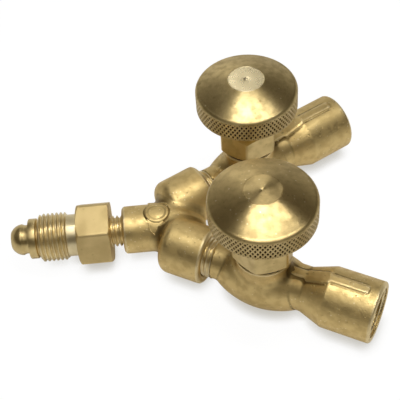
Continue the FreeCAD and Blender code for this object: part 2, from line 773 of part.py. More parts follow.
def make_thrust_washer(doc, side):
    """Slip washer between the stem's thread and the stop inside the bonnet."""
    inner = half("stem_dia") + size("washer_clearance")
    outer = half("stem_thread_dia") - size("washer_clearance")
    return ring(doc, side + "_thrust_washer", inner, outer, STEM_SHOULDER, WASHER_TOP)


def make_stem_o_ring(doc, side):
    """Round-section seal in the stem's groove."""
    body = new_body(doc, side + "_stem_o_ring")
    radius = half("ring_section")
    centre_x = half("ring_groove_dia") + size("ring_clearance") + radius
    centre_z = RING_GROOVE_FOOT + size("ring_clearance") + radius
    section = circle(
        new_sketch(body, "SectionOutline", "XZ_Plane"), centre_x, centre_z, "ring_section"
    )
    turned(body, "Ring", section, axis="V_Axis")
    return body


def make_backup_ring(doc, side):
    """Flat ring above the round seal, in the same groove."""
    inner = half("ring_groove_dia") + size("ring_clearance")
    outer = half("stem_dia") - size("ring_clearance") / 2
    top = BACKUP_FOOT + size("backup_thickness")
    return ring(doc, side + "_backup_ring", inner, outer, BACKUP_FOOT, top)


def make_seat_disc(doc, side):
    """Soft disc that closes on the seat crown."""
    body = new_body(doc, side + "_seat_disc")
    top = size("seat_height") + size("disc_thickness")
    outline = Outline(new_sketch(body, "DiscOutline", "XZ_Plane"), 0, size("seat_height"))
    outline.line(half("disc_dia"), size("seat_height")).line(half("disc_dia"), top).line(0, top)
    turned(body, "Disc", outline.close(), axis="V_Axis")
    return body


def make_seat_holder(doc, side):
    """Swivelling cup that holds the disc and hangs from the stem's button."""
    body = new_body(doc, side + "_seat_holder")
    recess = half("disc_dia") + size("disc_clearance")
    ceiling = HOLDER_FOOT + size("disc_depth_in_holder")
    gap = size("button_clearance")
    cavity_foot = ceiling + size("button_above_disc") - gap / 2
    lip_foot = HOLDER_TOP - size("holder_lip")
    chamfer = size("holder_chamfer")
    cup = Outline(new_sketch(body, "CupOutline", "XZ_Plane"), 0, HOLDER_FOOT)
    cup.line(half("holder_dia"), HOLDER_FOOT).line(half("holder_dia"), HOLDER_TOP - chamfer)
    cup.line(half("holder_dia") - chamfer, HOLDER_TOP).line(0, HOLDER_TOP)
    turned(body, "Cup", cup.close(), axis="V_Axis")

    disc_recess = Outline(new_sketch(body, "RecessOutline", "XZ_Plane"), 0, HOLDER_FOOT)
    disc_recess.line(recess, HOLDER_FOOT).line(recess, ceiling).line(0, ceiling)
    turned(body, "DiscRecess", disc_recess.close(), axis="V_Axis", cut=True)

    lip_radius = half("button_neck_dia") + gap
    cavity = Outline(new_sketch(body, "CavityOutline", "XZ_Plane"), 0, cavity_foot)
    cavity.line(half("button_dia") + gap, cavity_foot).line(half("button_dia") + gap, lip_foot)
    cavity.line(lip_radius, lip_foot).line(lip_radius, HOLDER_TOP).line(0, HOLDER_TOP)
    turned(body, "ButtonCavity", cavity.close(), axis="V_Axis", cut=True)
    return body


def make_knob(doc, side):
    """Turned knob: hub, knurled rim, rounded edge, low crown and flat centre."""
    body = new_body(doc, side + "_knob")
    bore = half("stem_top_dia") + size("knob_bore_clearance")
    bore_top = HUB_FOOT + size("stem_top_length") + size("knob_bore_end_gap")
    chamfer = size("knob_rim_chamfer")
    mark_foot = CROWN_TOP - size("centre_mark_depth")
    outline = Outline(new_sketch(body, "KnobOutline", "XZ_Plane"), 0, bore_top)
    outline.line(bore, bore_top).line(bore, HUB_FOOT)
    outline.line(half("hub_dia") - chamfer, HUB_FOOT)
    outline.line(half("hub_dia"), HUB_FOOT + chamfer).line(half("hub_dia"), RIM_FOOT)
    outline.line(half("knob_dia") - chamfer, RIM_FOOT)
    outline.line(half("knob_dia"), RIM_FOOT + chamfer).line(half("knob_dia"), RIM_TOP)
    outline.arc(
        half("knob_dia") - size("crown_edge_inset"),
        RIM_TOP + size("crown_edge_rise"),
        size("crown_rounding"),
        clockwise=False,
    )
    outline.arc(half("crown_flat_dia"), CROWN_TOP, size("crown_radius"), clockwise=False)
    outline.line(half("centre_mark_dia"), CROWN_TOP).line(0, mark_foot)
    turned(body, "Knob", outline.close(), axis="V_Axis")
    return body


def make_valve(doc, side, sign):
    """Make one valve's pieces and set them on their branch."""
    makers = (
        make_valve_body,
        make_bonnet_gasket,
        make_bonnet,
        make_stem,
        make_thrust_washer,
        make_stem_o_ring,
        make_backup_ring,
        make_seat_holder,
        make_seat_disc,
        make_knob,
    )
    angle = size("fork_half_angle")
    reach = size("stem_from_meet")
    for make in makers:
        body = make(doc, side)
        place(body, MEET + reach * angle.cos(), reach * angle.sin() * sign, angle * sign)


def check_and_write(doc):
    """Stop on any failed object or bad shape, then write one file per sub-part."""
    for item in doc.Objects:
        if {"Invalid", "Error"} & set(item.State):
            raise RuntimeError("%s failed: %s" % (item.Label, item.State))
    os.makedirs("parts", exist_ok=True)
    for body in MADE_PARTS:
        shape = body.Shape
        if shape.isNull() or not shape.isValid() or len(shape.Solids) != 1:
            raise RuntimeError("%s has no single valid solid" % body.Label)
        shape.exportStep("parts/%s.step" % body.Label)
        print("%-24s %9.2f mm3" % (body.Label, shape.Volume))


def main():
    """Build the whole connector."""
    doc = FreeCAD.newDocument("YConnector")
    fill_sheet(doc)
    make_inlet_adaptor(doc)
    make_y_body(doc)
    make_valve(doc, "left", 1)
    make_valve(doc, "right", -1)
    doc.recompute()
    check_and_write(doc)


main()
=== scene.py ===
"""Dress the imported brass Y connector: threads, knurls, forged skins and finishes."""
import logging
import math
from collections.abc import Callable
from dataclasses import dataclass
from enum import Enum

import bpy
import numpy
from mathutils import Matrix, Vector
from mathutils.bvhtree import BVHTree


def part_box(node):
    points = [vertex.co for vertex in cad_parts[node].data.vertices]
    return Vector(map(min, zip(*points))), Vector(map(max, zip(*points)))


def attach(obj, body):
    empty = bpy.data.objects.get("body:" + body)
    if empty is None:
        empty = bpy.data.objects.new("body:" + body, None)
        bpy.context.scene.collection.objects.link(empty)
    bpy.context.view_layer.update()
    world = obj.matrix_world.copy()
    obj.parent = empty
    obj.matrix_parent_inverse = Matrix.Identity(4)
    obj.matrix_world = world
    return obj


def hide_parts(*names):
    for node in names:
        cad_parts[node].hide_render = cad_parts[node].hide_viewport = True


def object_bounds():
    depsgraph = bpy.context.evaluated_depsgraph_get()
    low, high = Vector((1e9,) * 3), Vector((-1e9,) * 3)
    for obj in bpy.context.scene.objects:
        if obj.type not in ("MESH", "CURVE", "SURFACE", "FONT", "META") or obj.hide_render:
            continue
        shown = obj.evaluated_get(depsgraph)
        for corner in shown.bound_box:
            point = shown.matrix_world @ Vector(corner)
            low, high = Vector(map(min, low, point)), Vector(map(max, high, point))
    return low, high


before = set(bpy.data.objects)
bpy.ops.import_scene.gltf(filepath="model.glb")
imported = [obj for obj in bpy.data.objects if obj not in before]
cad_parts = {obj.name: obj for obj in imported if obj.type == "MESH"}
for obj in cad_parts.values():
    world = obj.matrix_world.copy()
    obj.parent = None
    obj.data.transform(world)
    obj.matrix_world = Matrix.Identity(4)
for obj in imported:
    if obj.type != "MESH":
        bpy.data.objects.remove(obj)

LOG = logging.getLogger("y_connector")
CAD_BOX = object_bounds()
MM = 0.001
FULL_TURN = 2 * math.pi
# Threads of 18 to the inch, in millimetres.
PITCH = 25.4 / 18
# Painted shade: the colour that hollows and seams darken towards, where shade falls.
HOLLOW_SHADE = (0.15, 0.095, 0.030, 1.0)
RUBBED_BRASS = (0.93, 0.79, 0.48, 1.0)
KNURL_SHADOW = (0.05, 0.028, 0.008, 1.0)
WHITE = (1.0, 1.0, 1.0, 1.0)

Corner = tuple[float, float, float]
RadiusRule = Callable[[float, float], float]


class Side(Enum):
    """The two valves, by the word that starts the names of their CAD nodes."""

    LEFT = "left"
    RIGHT = "right"


def smooth_step(low: float, high: float, value: float) -> float:
    """Step smoothly from 0 to 1.

    Args:
        low: Where the step starts.
        high: Where it ends, on either side of low.
        value: The place to measure.

    Returns:
        0 on low's side, 1 on high's side and a smooth step between them.
    """
    share = min(max((value - low) / (high - low), 0.0), 1.0)
    return share * share * (3 - 2 * share)


class Shading(Enum):
    """How the edges of a piece are shaded, as the angle that still counts as smooth."""

    MACHINED = 32.0
    FORGED = 180.0


class Tree:
    """A node tree with short ways to add nodes and wire them."""

    def __init__(self, tree: bpy.types.NodeTree) -> None:
        """Hold the tree that the nodes go into."""
        self.tree = tree

    def node(self, kind: str, **settings: object) -> bpy.types.Node:
        """Add a node.

        Args:
            kind: The node's Blender type.
            settings: Its properties by name.

        Returns:
            The new node.
        """
        made = self.tree.nodes.new(kind)
        for name, value in settings.items():
            setattr(made, name, value)
        made.location.x = 180 * len(self.tree.nodes)
        return made

    def feed(self, socket: bpy.types.NodeSocket, value: object) -> None:
        """Link a socket to another one, or set its constant.

        Args:
            socket: The input socket to feed.
            value: The socket to link from, or a plain value.
        """
        if isinstance(value, bpy.types.NodeSocket):
            self.tree.links.new(value, socket)
        else:
            socket.default_value = value

    def maths(self, operation: str, *values: object) -> bpy.types.NodeSocket:
        """Work out one number.

        Args:
            operation: The Math node's operation.
            values: Sockets or numbers for its inputs.

        Returns:
            The socket with the result.
        """
        made = self.node("ShaderNodeMath", operation=operation)
        for socket, value in zip(made.inputs, values):
            self.feed(socket, value)
        return made.outputs[0]

    def ramp(self, value: object, low: object, high: object) -> bpy.types.NodeSocket:
        """Step smoothly from 0 to 1.

        Args:
            value: What is measured.
            low: Where the step starts.
            high: Where it ends.

        Returns:
            The socket with 0 below low and 1 above high.
        """
        made = self.node("ShaderNodeMapRange", interpolation_type="SMOOTHSTEP")
        for name, item in (("Value", value), ("From Min", low), ("From Max", high)):
            self.feed(made.inputs[name], item)
        return made.outputs["Result"]

    def mixed(self, share: object, first: object, second: object) -> bpy.types.NodeSocket:
        """Mix two colours.

        Args:
            share: How much of the second colour shows.
            first: A colour or a socket.
            second: A colour or a socket.

        Returns:
            The socket with the mixed colour.
        """
        made = self.node("ShaderNodeMix", data_type="RGBA")
        colours = [item for item in made.inputs if item.type == "RGBA"]
        self.feed(made.inputs[0], share)
        self.feed(colours[0], first)
        self.feed(colours[1], second)
        return next(item for item in made.outputs if item.type == "RGBA")

    def spots(self, coordinates: object, size: object, share: object,
              reach: float) -> bpy.types.NodeSocket:
        """Scatter round spots.

        Args:
            coordinates: The place on the surface.
            size: How far apart the spots may be, in the coordinates' unit.
            share: How many of the places have a spot.
            reach: How wide a spot is, as a share of the size.

        Returns:
            The socket with 1 in the middle of a spot and 0 outside them.
        """
        cells = self.node("ShaderNodeTexVoronoi", feature="F1")
        self.feed(cells.inputs["Vector"], coordinates)
        self.feed(cells.inputs["Scale"], self.maths("DIVIDE", 1.0, size))
        split = self.node("ShaderNodeSeparateColor")
        self.feed(split.inputs[0], cells.outputs["Color"])
        chosen = self.maths("LESS_THAN", split.outputs[0], share)
        middle = self.maths("SUBTRACT", 1.0, self.ramp(cells.outputs["Distance"], 0.05, reach))
        return self.maths("MULTIPLY", middle, chosen)

    def noise(self, coordinates: object, size: object, detail: float) -> bpy.types.NodeSocket:
        """Make soft noise.

        Args:
            coordinates: The place on the surface.
            size: How large its features are, in the coordinates' unit.
            detail: How many finer layers lie on it.

        Returns:
            The socket with the noise.
        """
        made = self.node("ShaderNodeTexNoise", noise_dimensions="3D")
        self.feed(made.inputs["Vector"], coordinates)
        self.feed(made.inputs["Scale"], self.maths("DIVIDE", 1.0, size))
        made.inputs["Detail"].default_value = detail
        return made.outputs["Fac"]


class Group(Tree):
    """A node group's tree, with named sockets inside it as source and result."""

    def __init__(self, kind: str, name: str, inputs: dict[str, object],
                 outputs: dict[str, str]) -> None:
        """Make the group.

        Args:
            kind: The tree's Blender type.
            name: The group's name.
            inputs: Default of each input, by name; a string is a socket type with no default.
            outputs: Socket type of each output, by name.
        """
        super().__init__(bpy.data.node_groups.new(name, kind))
        kinds = {float: "NodeSocketFloat", int: "NodeSocketInt", tuple: "NodeSocketColor"}
        for label, value in inputs.items():
            bare = isinstance(value, str)
            socket = self.tree.interface.new_socket(
                label, in_out="INPUT", socket_type=value if bare else kinds[type(value)])
            if not bare:
                socket.default_value = value
        for label, typed in outputs.items():
            self.tree.interface.new_socket(label, in_out="OUTPUT", socket_type=typed)
        self.source = self.node("NodeGroupInput").outputs
        self.result = self.node("NodeGroupOutput").inputs


def make_brass_skin() -> bpy.types.NodeTree:
    """Make the shader group for aged brass: tarnish, grain, pits, nicks, worn edges and painted
    shade in hollows.

    Returns:
        The group's tree.
    """
    group = Group(
        "ShaderNodeTree",
        "BrassSkin",
        {
            "Bright": (0.8, 0.6, 0.3, 1.0),
            "Tarnish": (0.5, 0.35, 0.15, 1.0),
            "Tarnish Amount": 0.3,
            "Mottle Size": 4.0,
            "Grain Size": 0.3,
            "Pit Size": 1.4,
            "Pit Share": 0.3,
            "Nick Size": 0.8,
            "Nick Share": 0.1,
            "Roughness": 0.35,
            "Roughness Spread": 0.15,
        },
        {
            "Color": "NodeSocketColor",
            "Roughness": "NodeSocketFloat",
            "Height": "NodeSocketFloat",
        },
    )
    given = group.source
    place = group.node("ShaderNodeTexCoord").outputs["Object"]
    scaled = group.node("ShaderNodeVectorMath", operation="SCALE")
    group.feed(scaled.inputs[0], place)
    scaled.inputs["Scale"].default_value = 1 / MM
    millimetres = scaled.outputs[0]
    mottle = group.noise(millimetres, given["Mottle Size"], 5.0)
    grain = group.noise(millimetres, given["Grain Size"], 3.0)
    pits = group.spots(millimetres, given["Pit Size"], given["Pit Share"], 0.32)
    clusters = group.ramp(group.noise(millimetres, 9.0, 2.0), 0.42, 0.62)
    crowd = group.maths("MULTIPLY", given["Nick Share"], clusters)
    nicks = group.spots(millimetres, given["Nick Size"], crowd, 0.28)
    cavity = group.node("ShaderNodeAttribute", attribute_name="cavity").outputs["Fac"]

    patches = group.ramp(mottle, 0.36, 0.68)
    tarnish = group.maths("MULTIPLY", patches, given["Tarnish Amount"])
    share = group.maths("ADD", tarnish, group.maths("MULTIPLY", pits, 0.45))
    colour = group.mixed(group.maths("MINIMUM", share, 1.0), given["Bright"], given["Tarnish"])
    # Painted shade: hollows and seams darken with the cavity measure.
    hollow_shade = group.maths("MULTIPLY", group.ramp(cavity, 0.03, 0.28), 0.85)
    colour = group.mixed(hollow_shade, colour, HOLLOW_SHADE)
    rubbed = group.ramp(group.maths("MULTIPLY", cavity, -1.0), 0.35, 1.0)
    worn = group.maths("MAXIMUM", nicks, group.maths("MULTIPLY", rubbed, 0.6))
    colour = group.mixed(worn, colour, RUBBED_BRASS)
    speckle = group.maths("SUBTRACT", grain, 0.5)
    blotch = group.maths("SUBTRACT", patches, 0.5)
    swing = group.maths("MULTIPLY", group.maths("ADD", speckle, blotch), given["Roughness Spread"])
    rough = group.maths("ADD", given["Roughness"], swing)
    height = group.maths("SUBTRACT", group.maths("MULTIPLY", grain, 0.5), pits)
    group.feed(group.result["Color"], colour)
    group.feed(group.result["Roughness"], rough)
    group.feed(group.result["Height"], height)
    return group.tree


def make_tool_lines() -> bpy.types.NodeTree:
    """Make the shader group for the fine rings that a lathe tool leaves.

    Returns:
        The group's tree.
    """
    group = Group("ShaderNodeTree", "ToolLines", {"Spacing": 0.2}, {"Lines": "NodeSocketFloat"})
    attribute = group.node("ShaderNodeAttribute", attribute_name="lathe")
    parts = group.node("ShaderNodeSeparateXYZ")
    group.feed(parts.inputs[0], attribute.outputs["Vector"])
    path = group.maths("ADD", parts.outputs["X"], parts.outputs["Y"])
    lines = group.node("ShaderNodeTexNoise", noise_dimensions="1D")
    group.feed(lines.inputs["W"], path)
    group.feed(lines.inputs["Scale"], group.maths("DIVIDE", 1.0, group.source["Spacing"]))
    lines.inputs["Detail"].default_value = 3.0
    group.feed(group.result["Lines"], lines.outputs["Fac"])
    return group.tree


@dataclass(frozen=True)
class Finish:
    """A finish, whose material is made on first use."""

    name: str

    def make(self) -> bpy.types.Material:
        """Return the material of this finish.

        Returns:
            The material, the same one each time.
        """
        found = bpy.data.materials.get(self.name)
        if found is not None:
            return found
        material = bpy.data.materials.new(self.name)
        material.use_nodes = True
        tree = Tree(material.node_tree)
        self.dress(tree, tree.tree.nodes["Principled BSDF"])
        return material

    def dress(self, tree: Tree, shader: bpy.types.Node) -> None:
        """Feed the material's shader."""
        raise NotImplementedError


@dataclass(frozen=True)
class Brass(Finish):
    """A brass finish: its colours, how rough it is and what marks it carries.

    Lengths are in millimetres.
    """

    bright: tuple[float, float, float] = (0.64, 0.485, 0.21)
    tarnish: tuple[float, float, float] = (0.38, 0.265, 0.095)
    tarnish_amount: float = 0.35
    mottle: float = 5.0
    grain: float = 0.35
    pit: float = 1.5
    pit_share: float = 0.15
    nick: float = 0.8
    nick_share: float = 0.0
    roughness: float = 0.34
    roughness_spread: float = 0.14
    bump: float = 0.02
    anisotropic: float = 0.0
    tool_spacing: float = 0.0
    shaded_pits: bool = False

    def dress(self, tree: Tree, shader: bpy.types.Node) -> None:
        """Feed the shader with the aged skin and, where it has them, tool lines and painted shade
        in the knurl pits.

        Args:
            tree: The material's tree.
            shader: Its Principled BSDF.
        """
        shader.inputs["Metallic"].default_value = 1.0
        skin = tree.node("ShaderNodeGroup", node_tree=bpy.data.node_groups["BrassSkin"])
        for label, value in (
            ("Bright", (*self.bright, 1.0)),
            ("Tarnish", (*self.tarnish, 1.0)),
            ("Tarnish Amount", self.tarnish_amount),
            ("Mottle Size", self.mottle),
            ("Grain Size", self.grain),
            ("Pit Size", self.pit),
            ("Pit Share", self.pit_share),
            ("Nick Size", self.nick),
            ("Nick Share", self.nick_share),
            ("Roughness", self.roughness),
            ("Roughness Spread", self.roughness_spread),
        ):
            tree.feed(skin.inputs[label], value)
        colour, height = skin.outputs["Color"], skin.outputs["Height"]
        if self.tool_spacing:
            lines = tree.node("ShaderNodeGroup", node_tree=bpy.data.node_groups["ToolLines"])
            lines.inputs["Spacing"].default_value = self.tool_spacing
            height = tree.maths("ADD", height, lines.outputs["Lines"])
            tone = tree.ramp(lines.outputs["Lines"], 0.3, 0.7)
            soft = tree.maths("MULTIPLY", tone, 0.22)
            colour = tree.mixed(soft, colour, (*self.tarnish, 1.0))
        if self.shaded_pits:
            # Painted shade: the knurl's pressed pits darken towards near black.
            hollow = tree.node("ShaderNodeAttribute", attribute_name="hollow").outputs["Fac"]
            colour = tree.mixed(tree.ramp(hollow, 0.15, 0.75), colour, KNURL_SHADOW)
        if self.anisotropic:
            shader.inputs["Anisotropic"].default_value = self.anisotropic
            shader.inputs["Anisotropic Rotation"].default_value = 0.25
            tangent = tree.node("ShaderNodeTangent", direction_type="RADIAL", axis="Z")
            tree.feed(shader.inputs["Tangent"], tangent.outputs[0])
        bump = tree.node("ShaderNodeBump")
        bump.inputs["Strength"].default_value = 1.0
        bump.inputs["Distance"].default_value = self.bump * MM
        tree.feed(bump.inputs["Height"], height)
        tree.feed(shader.inputs["Base Color"], colour)
        tree.feed(shader.inputs["Roughness"], skin.outputs["Roughness"])
        tree.feed(shader.inputs["Normal"], bump.outputs[0])


@dataclass(frozen=True)
class Plain(Finish):
    """A soft or plastic finish with a little mottling and grain, in millimetres."""

    colour: tuple[float, float, float]
    dark: tuple[float, float, float]
    roughness: float = 0.6
    grain: float = 0.4
    bump: float = 0.02

    def dress(self, tree: Tree, shader: bpy.types.Node) -> None:
        """Feed the shader with a faintly mottled colour.

        Args:
            tree: The material's tree.
            shader: Its Principled BSDF.
        """
        place = tree.node("ShaderNodeTexCoord").outputs["Object"]
        noise = tree.noise(place, self.grain * MM, 4.0)
        tone = tree.ramp(noise, 0.35, 0.7)
        colour = tree.mixed(tone, (*self.colour, 1), (*self.dark, 1))
        tree.feed(shader.inputs["Base Color"], colour)
        rough = tree.maths("ADD", self.roughness, tree.maths("MULTIPLY", tone, 0.1))
        tree.feed(shader.inputs["Roughness"], rough)
        bump = tree.node("ShaderNodeBump")
        bump.inputs["Distance"].default_value = self.bump * MM
        tree.feed(bump.inputs["Height"], noise)
        tree.feed(shader.inputs["Normal"], bump.outputs[0])


FORGED = Brass("cast_skin_brass", bright=(0.76, 0.575, 0.25), tarnish=(0.42, 0.30, 0.11),
               tarnish_amount=0.22, mottle=2.4, grain=0.55, pit=1.0, pit_share=0.22,
               nick=1.15, nick_share=0.60, roughness=0.50, roughness_spread=0.14, bump=0.085)
MILLED = Brass("milled_brass", bright=(0.74, 0.575, 0.275), tarnish=(0.52, 0.39, 0.165),
               tarnish_amount=0.35, mottle=6.0, grain=0.22, pit=1.6, pit_share=0.10,
               roughness=0.58, roughness_spread=0.08, bump=0.014)
# Painted shade: a darker copy of the milled brass for the bonnets, which sit in the knobs' shadow.
SHADED_BONNET = Brass("bonnet_brass_painted_shade", bright=(0.72, 0.56, 0.26), tarnish=(0.42, 0.31, 0.125),
               tarnish_amount=0.45, mottle=4.0, grain=0.22, pit=1.6, pit_share=0.08,
               roughness=0.44, roughness_spread=0.10, bump=0.012)
TURNED = Brass("turned_brass", bright=(0.78, 0.61, 0.29), tarnish_amount=0.25, mottle=5.0,
               grain=0.25, pit=1.5, pit_share=0.05, roughness=0.36, roughness_spread=0.10,
               bump=0.010, tool_spacing=0.16)
# Partly cleaner cut metal and partly painted highlight: thread brass is lighter than the rest to
# stand in for the bright ridges.
THREADED_LIT = Brass("threaded_brass_painted_highlight", bright=(0.88, 0.75, 0.46), tarnish=(0.48, 0.37, 0.18),
                 tarnish_amount=0.25, mottle=3.0, grain=0.25, pit=1.2, pit_share=0.08,
                 roughness=0.40, roughness_spread=0.12, bump=0.012)
CROWN = Brass("crown_brass", bright=(0.66, 0.50, 0.225), tarnish=(0.32, 0.225, 0.085),
              tarnish_amount=0.38, mottle=2.2, grain=0.5, pit=1.5, pit_share=0.16,
              nick=1.3, nick_share=0.30, roughness=0.33, roughness_spread=0.06, bump=0.006,
              anisotropic=0.85, tool_spacing=0.12)
WORN_CROWN = Brass("worn_crown_brass", bright=(0.68, 0.53, 0.25), tarnish=(0.34, 0.245, 0.095),
                   tarnish_amount=0.55, mottle=2.4, grain=0.6, pit=2.0, pit_share=0.22,
                   nick=1.3, nick_share=0.08, roughness=0.38, roughness_spread=0.08,
                   bump=0.006, anisotropic=0.65, tool_spacing=0.16)
# Painted highlight: the left knob's smooth flat centre, with its colour raised past clean brass
# where it catches the light.
LIT_CENTRE = Brass("centre_brass_painted_highlight", bright=(1.0, 0.86, 0.53), tarnish=(0.92, 0.76, 0.43),
               tarnish_amount=0.30, mottle=2.0, grain=0.3, pit=1.5, pit_share=0.04,
               roughness=0.29, roughness_spread=0.05, bump=0.006)
KNURLED = Brass("knurled_brass", bright=(0.60, 0.46, 0.215), tarnish_amount=0.40, mottle=4.0,
                grain=0.3, pit=1.4, pit_share=0.05, roughness=0.42, roughness_spread=0.10,
                bump=0.010, shaded_pits=True)
GASKET = Plain("fibre_sheet", (0.055, 0.042, 0.030), (0.025, 0.018, 0.012), 0.75)
WHITE_RING = Plain("white_ring_plastic", (0.86, 0.86, 0.82), (0.78, 0.78, 0.73), 0.42)
SEAL = Plain("black_seal_rubber", (0.022, 0.022, 0.022), (0.012, 0.012, 0.012), 0.55)
SEAT = Plain("soft_seat_plastic", (0.80, 0.76, 0.64), (0.72, 0.67, 0.55), 0.45)


def softened(corners: list[Corner], steps: int = 3) -> list[tuple[float, float]]:
    """Round the corners of an outline.

    Args:
        corners: Place along the axis, radius and edge rounding of each corner.
        steps: How many short edges make a rounding.

    Returns:
        The outline's points, as place along the axis and radius.
    """
    points = []
    for index, (along, radius, rounding) in enumerate(corners):
        here = Vector((along, radius))
        if rounding == 0 or index in (0, len(corners) - 1):
            points.append((along, radius))
            continue
        before = Vector(corners[index - 1][:2]) - here
        after = Vector(corners[index + 1][:2]) - here
        half = before.angle(after) / 2
        reach = min(rounding / math.tan(half), before.length * 0.45, after.length * 0.45)
        size = reach * math.tan(half)
        centre = here + (before.normalized() + after.normalized()).normalized() * (
            size / math.sin(half))
        first = here + before.normalized() * reach - centre
        last = here + after.normalized() * reach - centre
        for step in range(steps + 1):
            share = step / steps
            spoke = (first * (1 - share) + last * share).normalized() * size
            points.append(tuple(centre + spoke))
    return points


def arc(start: tuple[float, float], end: tuple[float, float], radius: float,
        steps: int) -> list[tuple[float, float]]:
    """Return points on a round stretch that bulges to the left of its way.

    Args:
        start: Where it begins.
        end: Where it ends.
        radius: Its radius.
        steps: How many short edges it has.

    Returns:
        The points between start and end, with end but without start.
    """
    first, last = Vector(start), Vector(end)
    chord = last - first
    right = Vector((chord.y, -chord.x)).normalized()
    centre = (first + last) / 2 + right * math.sqrt(radius**2 - (chord.length / 2) ** 2)
    points = []
    for step in range(1, steps + 1):
        spoke = (first - centre).lerp(last - centre, step / steps)
        points.append(tuple(centre + spoke.normalized() * radius))
    return points


def divided(points: list[tuple[float, float]], longest: float) -> list[tuple[float, float]]:
    """Add points to an outline.

    Args:
        points: The outline.
        longest: How long an edge may be.

    Returns:
        The outline with no edge longer than that.
    """
    made = [points[0]]
    for here, there in zip(points, points[1:]):
        count = max(1, math.ceil(math.dist(here, there) / longest))
        for step in range(1, count + 1):
            share = step / count
            made.append(tuple(a + (b - a) * share for a, b in zip(here, there)))
    return made


def lathe_mesh(name: str, outline: list[tuple[float, float]], segments: int,
               rule: RadiusRule | None = None) -> bpy.types.Mesh:
    """Turn an outline about Z.

    Args:
        name: The mesh's name.
        outline: Place along Z and radius of each point, in millimetres.
        segments: How many faces go round.
        rule: The radius at an angle, from the angle and the outline's radius, if it isn't round.

    Returns:
        The mesh, in millimetres, with its lathe coordinates stored on its points.
    """
    points, faces, coordinates, rings = [], [], [], []
    path = 0.0
    last = outline[0]
    for along, radius in outline:
        path += math.dist((along, radius), last)
        last = (along, radius)
        ring = []
        for step in range(segments if radius > 1e-6 else 1):
            angle = FULL_TURN * step / segments
            reach = rule(angle, radius) if rule and radius > 1e-6 else radius
            ring.append(len(points))
            points.append((reach * math.cos(angle), reach * math.sin(angle), along))
            coordinates.extend((path, 0.0, angle))
        rings.append(ring)
    for low, high in zip(rings, rings[1:]):
        for step in range(segments):
            after = (step + 1) % segments
            corners = [low[step % len(low)], low[after % len(low)],
                       high[after % len(high)], high[step % len(high)]]
            faces.append(list(dict.fromkeys(corners)))
    mesh = bpy.data.meshes.new(name)
    mesh.from_pydata(points, [], [face for face in faces if len(face) > 2])
    mesh.attributes.new("lathe", "FLOAT_VECTOR", "POINT").data.foreach_set("vector", coordinates)
    return mesh


def finish_piece(mesh: bpy.types.Mesh, place: Matrix, material: bpy.types.Material,
                 body: str, shading: Shading) -> bpy.types.Object:
    """Put a mesh in the row's frame as a piece that rides on a body.

    Args:
        mesh: The mesh; its name becomes the piece's name.
        place: Where it goes.
        material: Its finish.
        body: The CAD body that it moves with.
        shading: How its edges are shaded.

    Returns:
        The new piece.
    """
    mesh.transform(place)
    mesh.materials.clear()
    mesh.materials.append(material)
    mesh.shade_smooth()
    if shading is Shading.MACHINED:
        mesh.set_sharp_from_angle(angle=math.radians(shading.value))
    piece = bpy.data.objects.new(mesh.name, mesh)
    bpy.context.scene.collection.objects.link(piece)
    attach(piece, body)
    LOG.info("%s: %d faces on %s", piece.name, len(mesh.polygons), body)
    return piece


def evaluated(mesh: bpy.types.Mesh, set_up: Callable[[bpy.types.Object], None]) -> bpy.types.Mesh:
    """Run modifiers on a mesh.

    Args:
        mesh: The mesh to start from.
        set_up: Adds the modifiers to an object that holds it.

    Returns:
        A plain mesh with the result, under the first mesh's name.
    """
    name = mesh.name
    holder = bpy.data.objects.new(name + "_holder", mesh)
    bpy.context.scene.collection.objects.link(holder)
    set_up(holder)
    bpy.context.view_layer.update()
    graph = bpy.context.evaluated_depsgraph_get()
    result = bpy.data.meshes.new_from_object(holder.evaluated_get(graph))
    bpy.data.objects.remove(holder)
    mesh.name = name + "_source"
    result.name = name
    return result


def with_tree(mesh: bpy.types.Mesh, tree: bpy.types.NodeTree,
              values: dict[str, object]) -> bpy.types.Mesh:
    """Run a geometry node tree on a mesh.

    Args:
        mesh: The mesh to start from.
        tree: The tree.
        values: What its inputs get, by name.

    Returns:
        The plain result, under the mesh's name.
    """

    def set_up(holder: bpy.types.Object) -> None:
        """Add the tree and give its inputs their values.

        Args:
            holder: The object that holds the mesh.
        """
        modifier = holder.modifiers.new("tree", "NODES")
        modifier.node_group = tree
        for item in tree.interface.items_tree:
            if item.item_type == "SOCKET" and item.in_out == "INPUT" and item.name in values:
                modifier[item.identifier] = values[item.name]
        holder.update_tag()

    return evaluated(mesh, set_up)


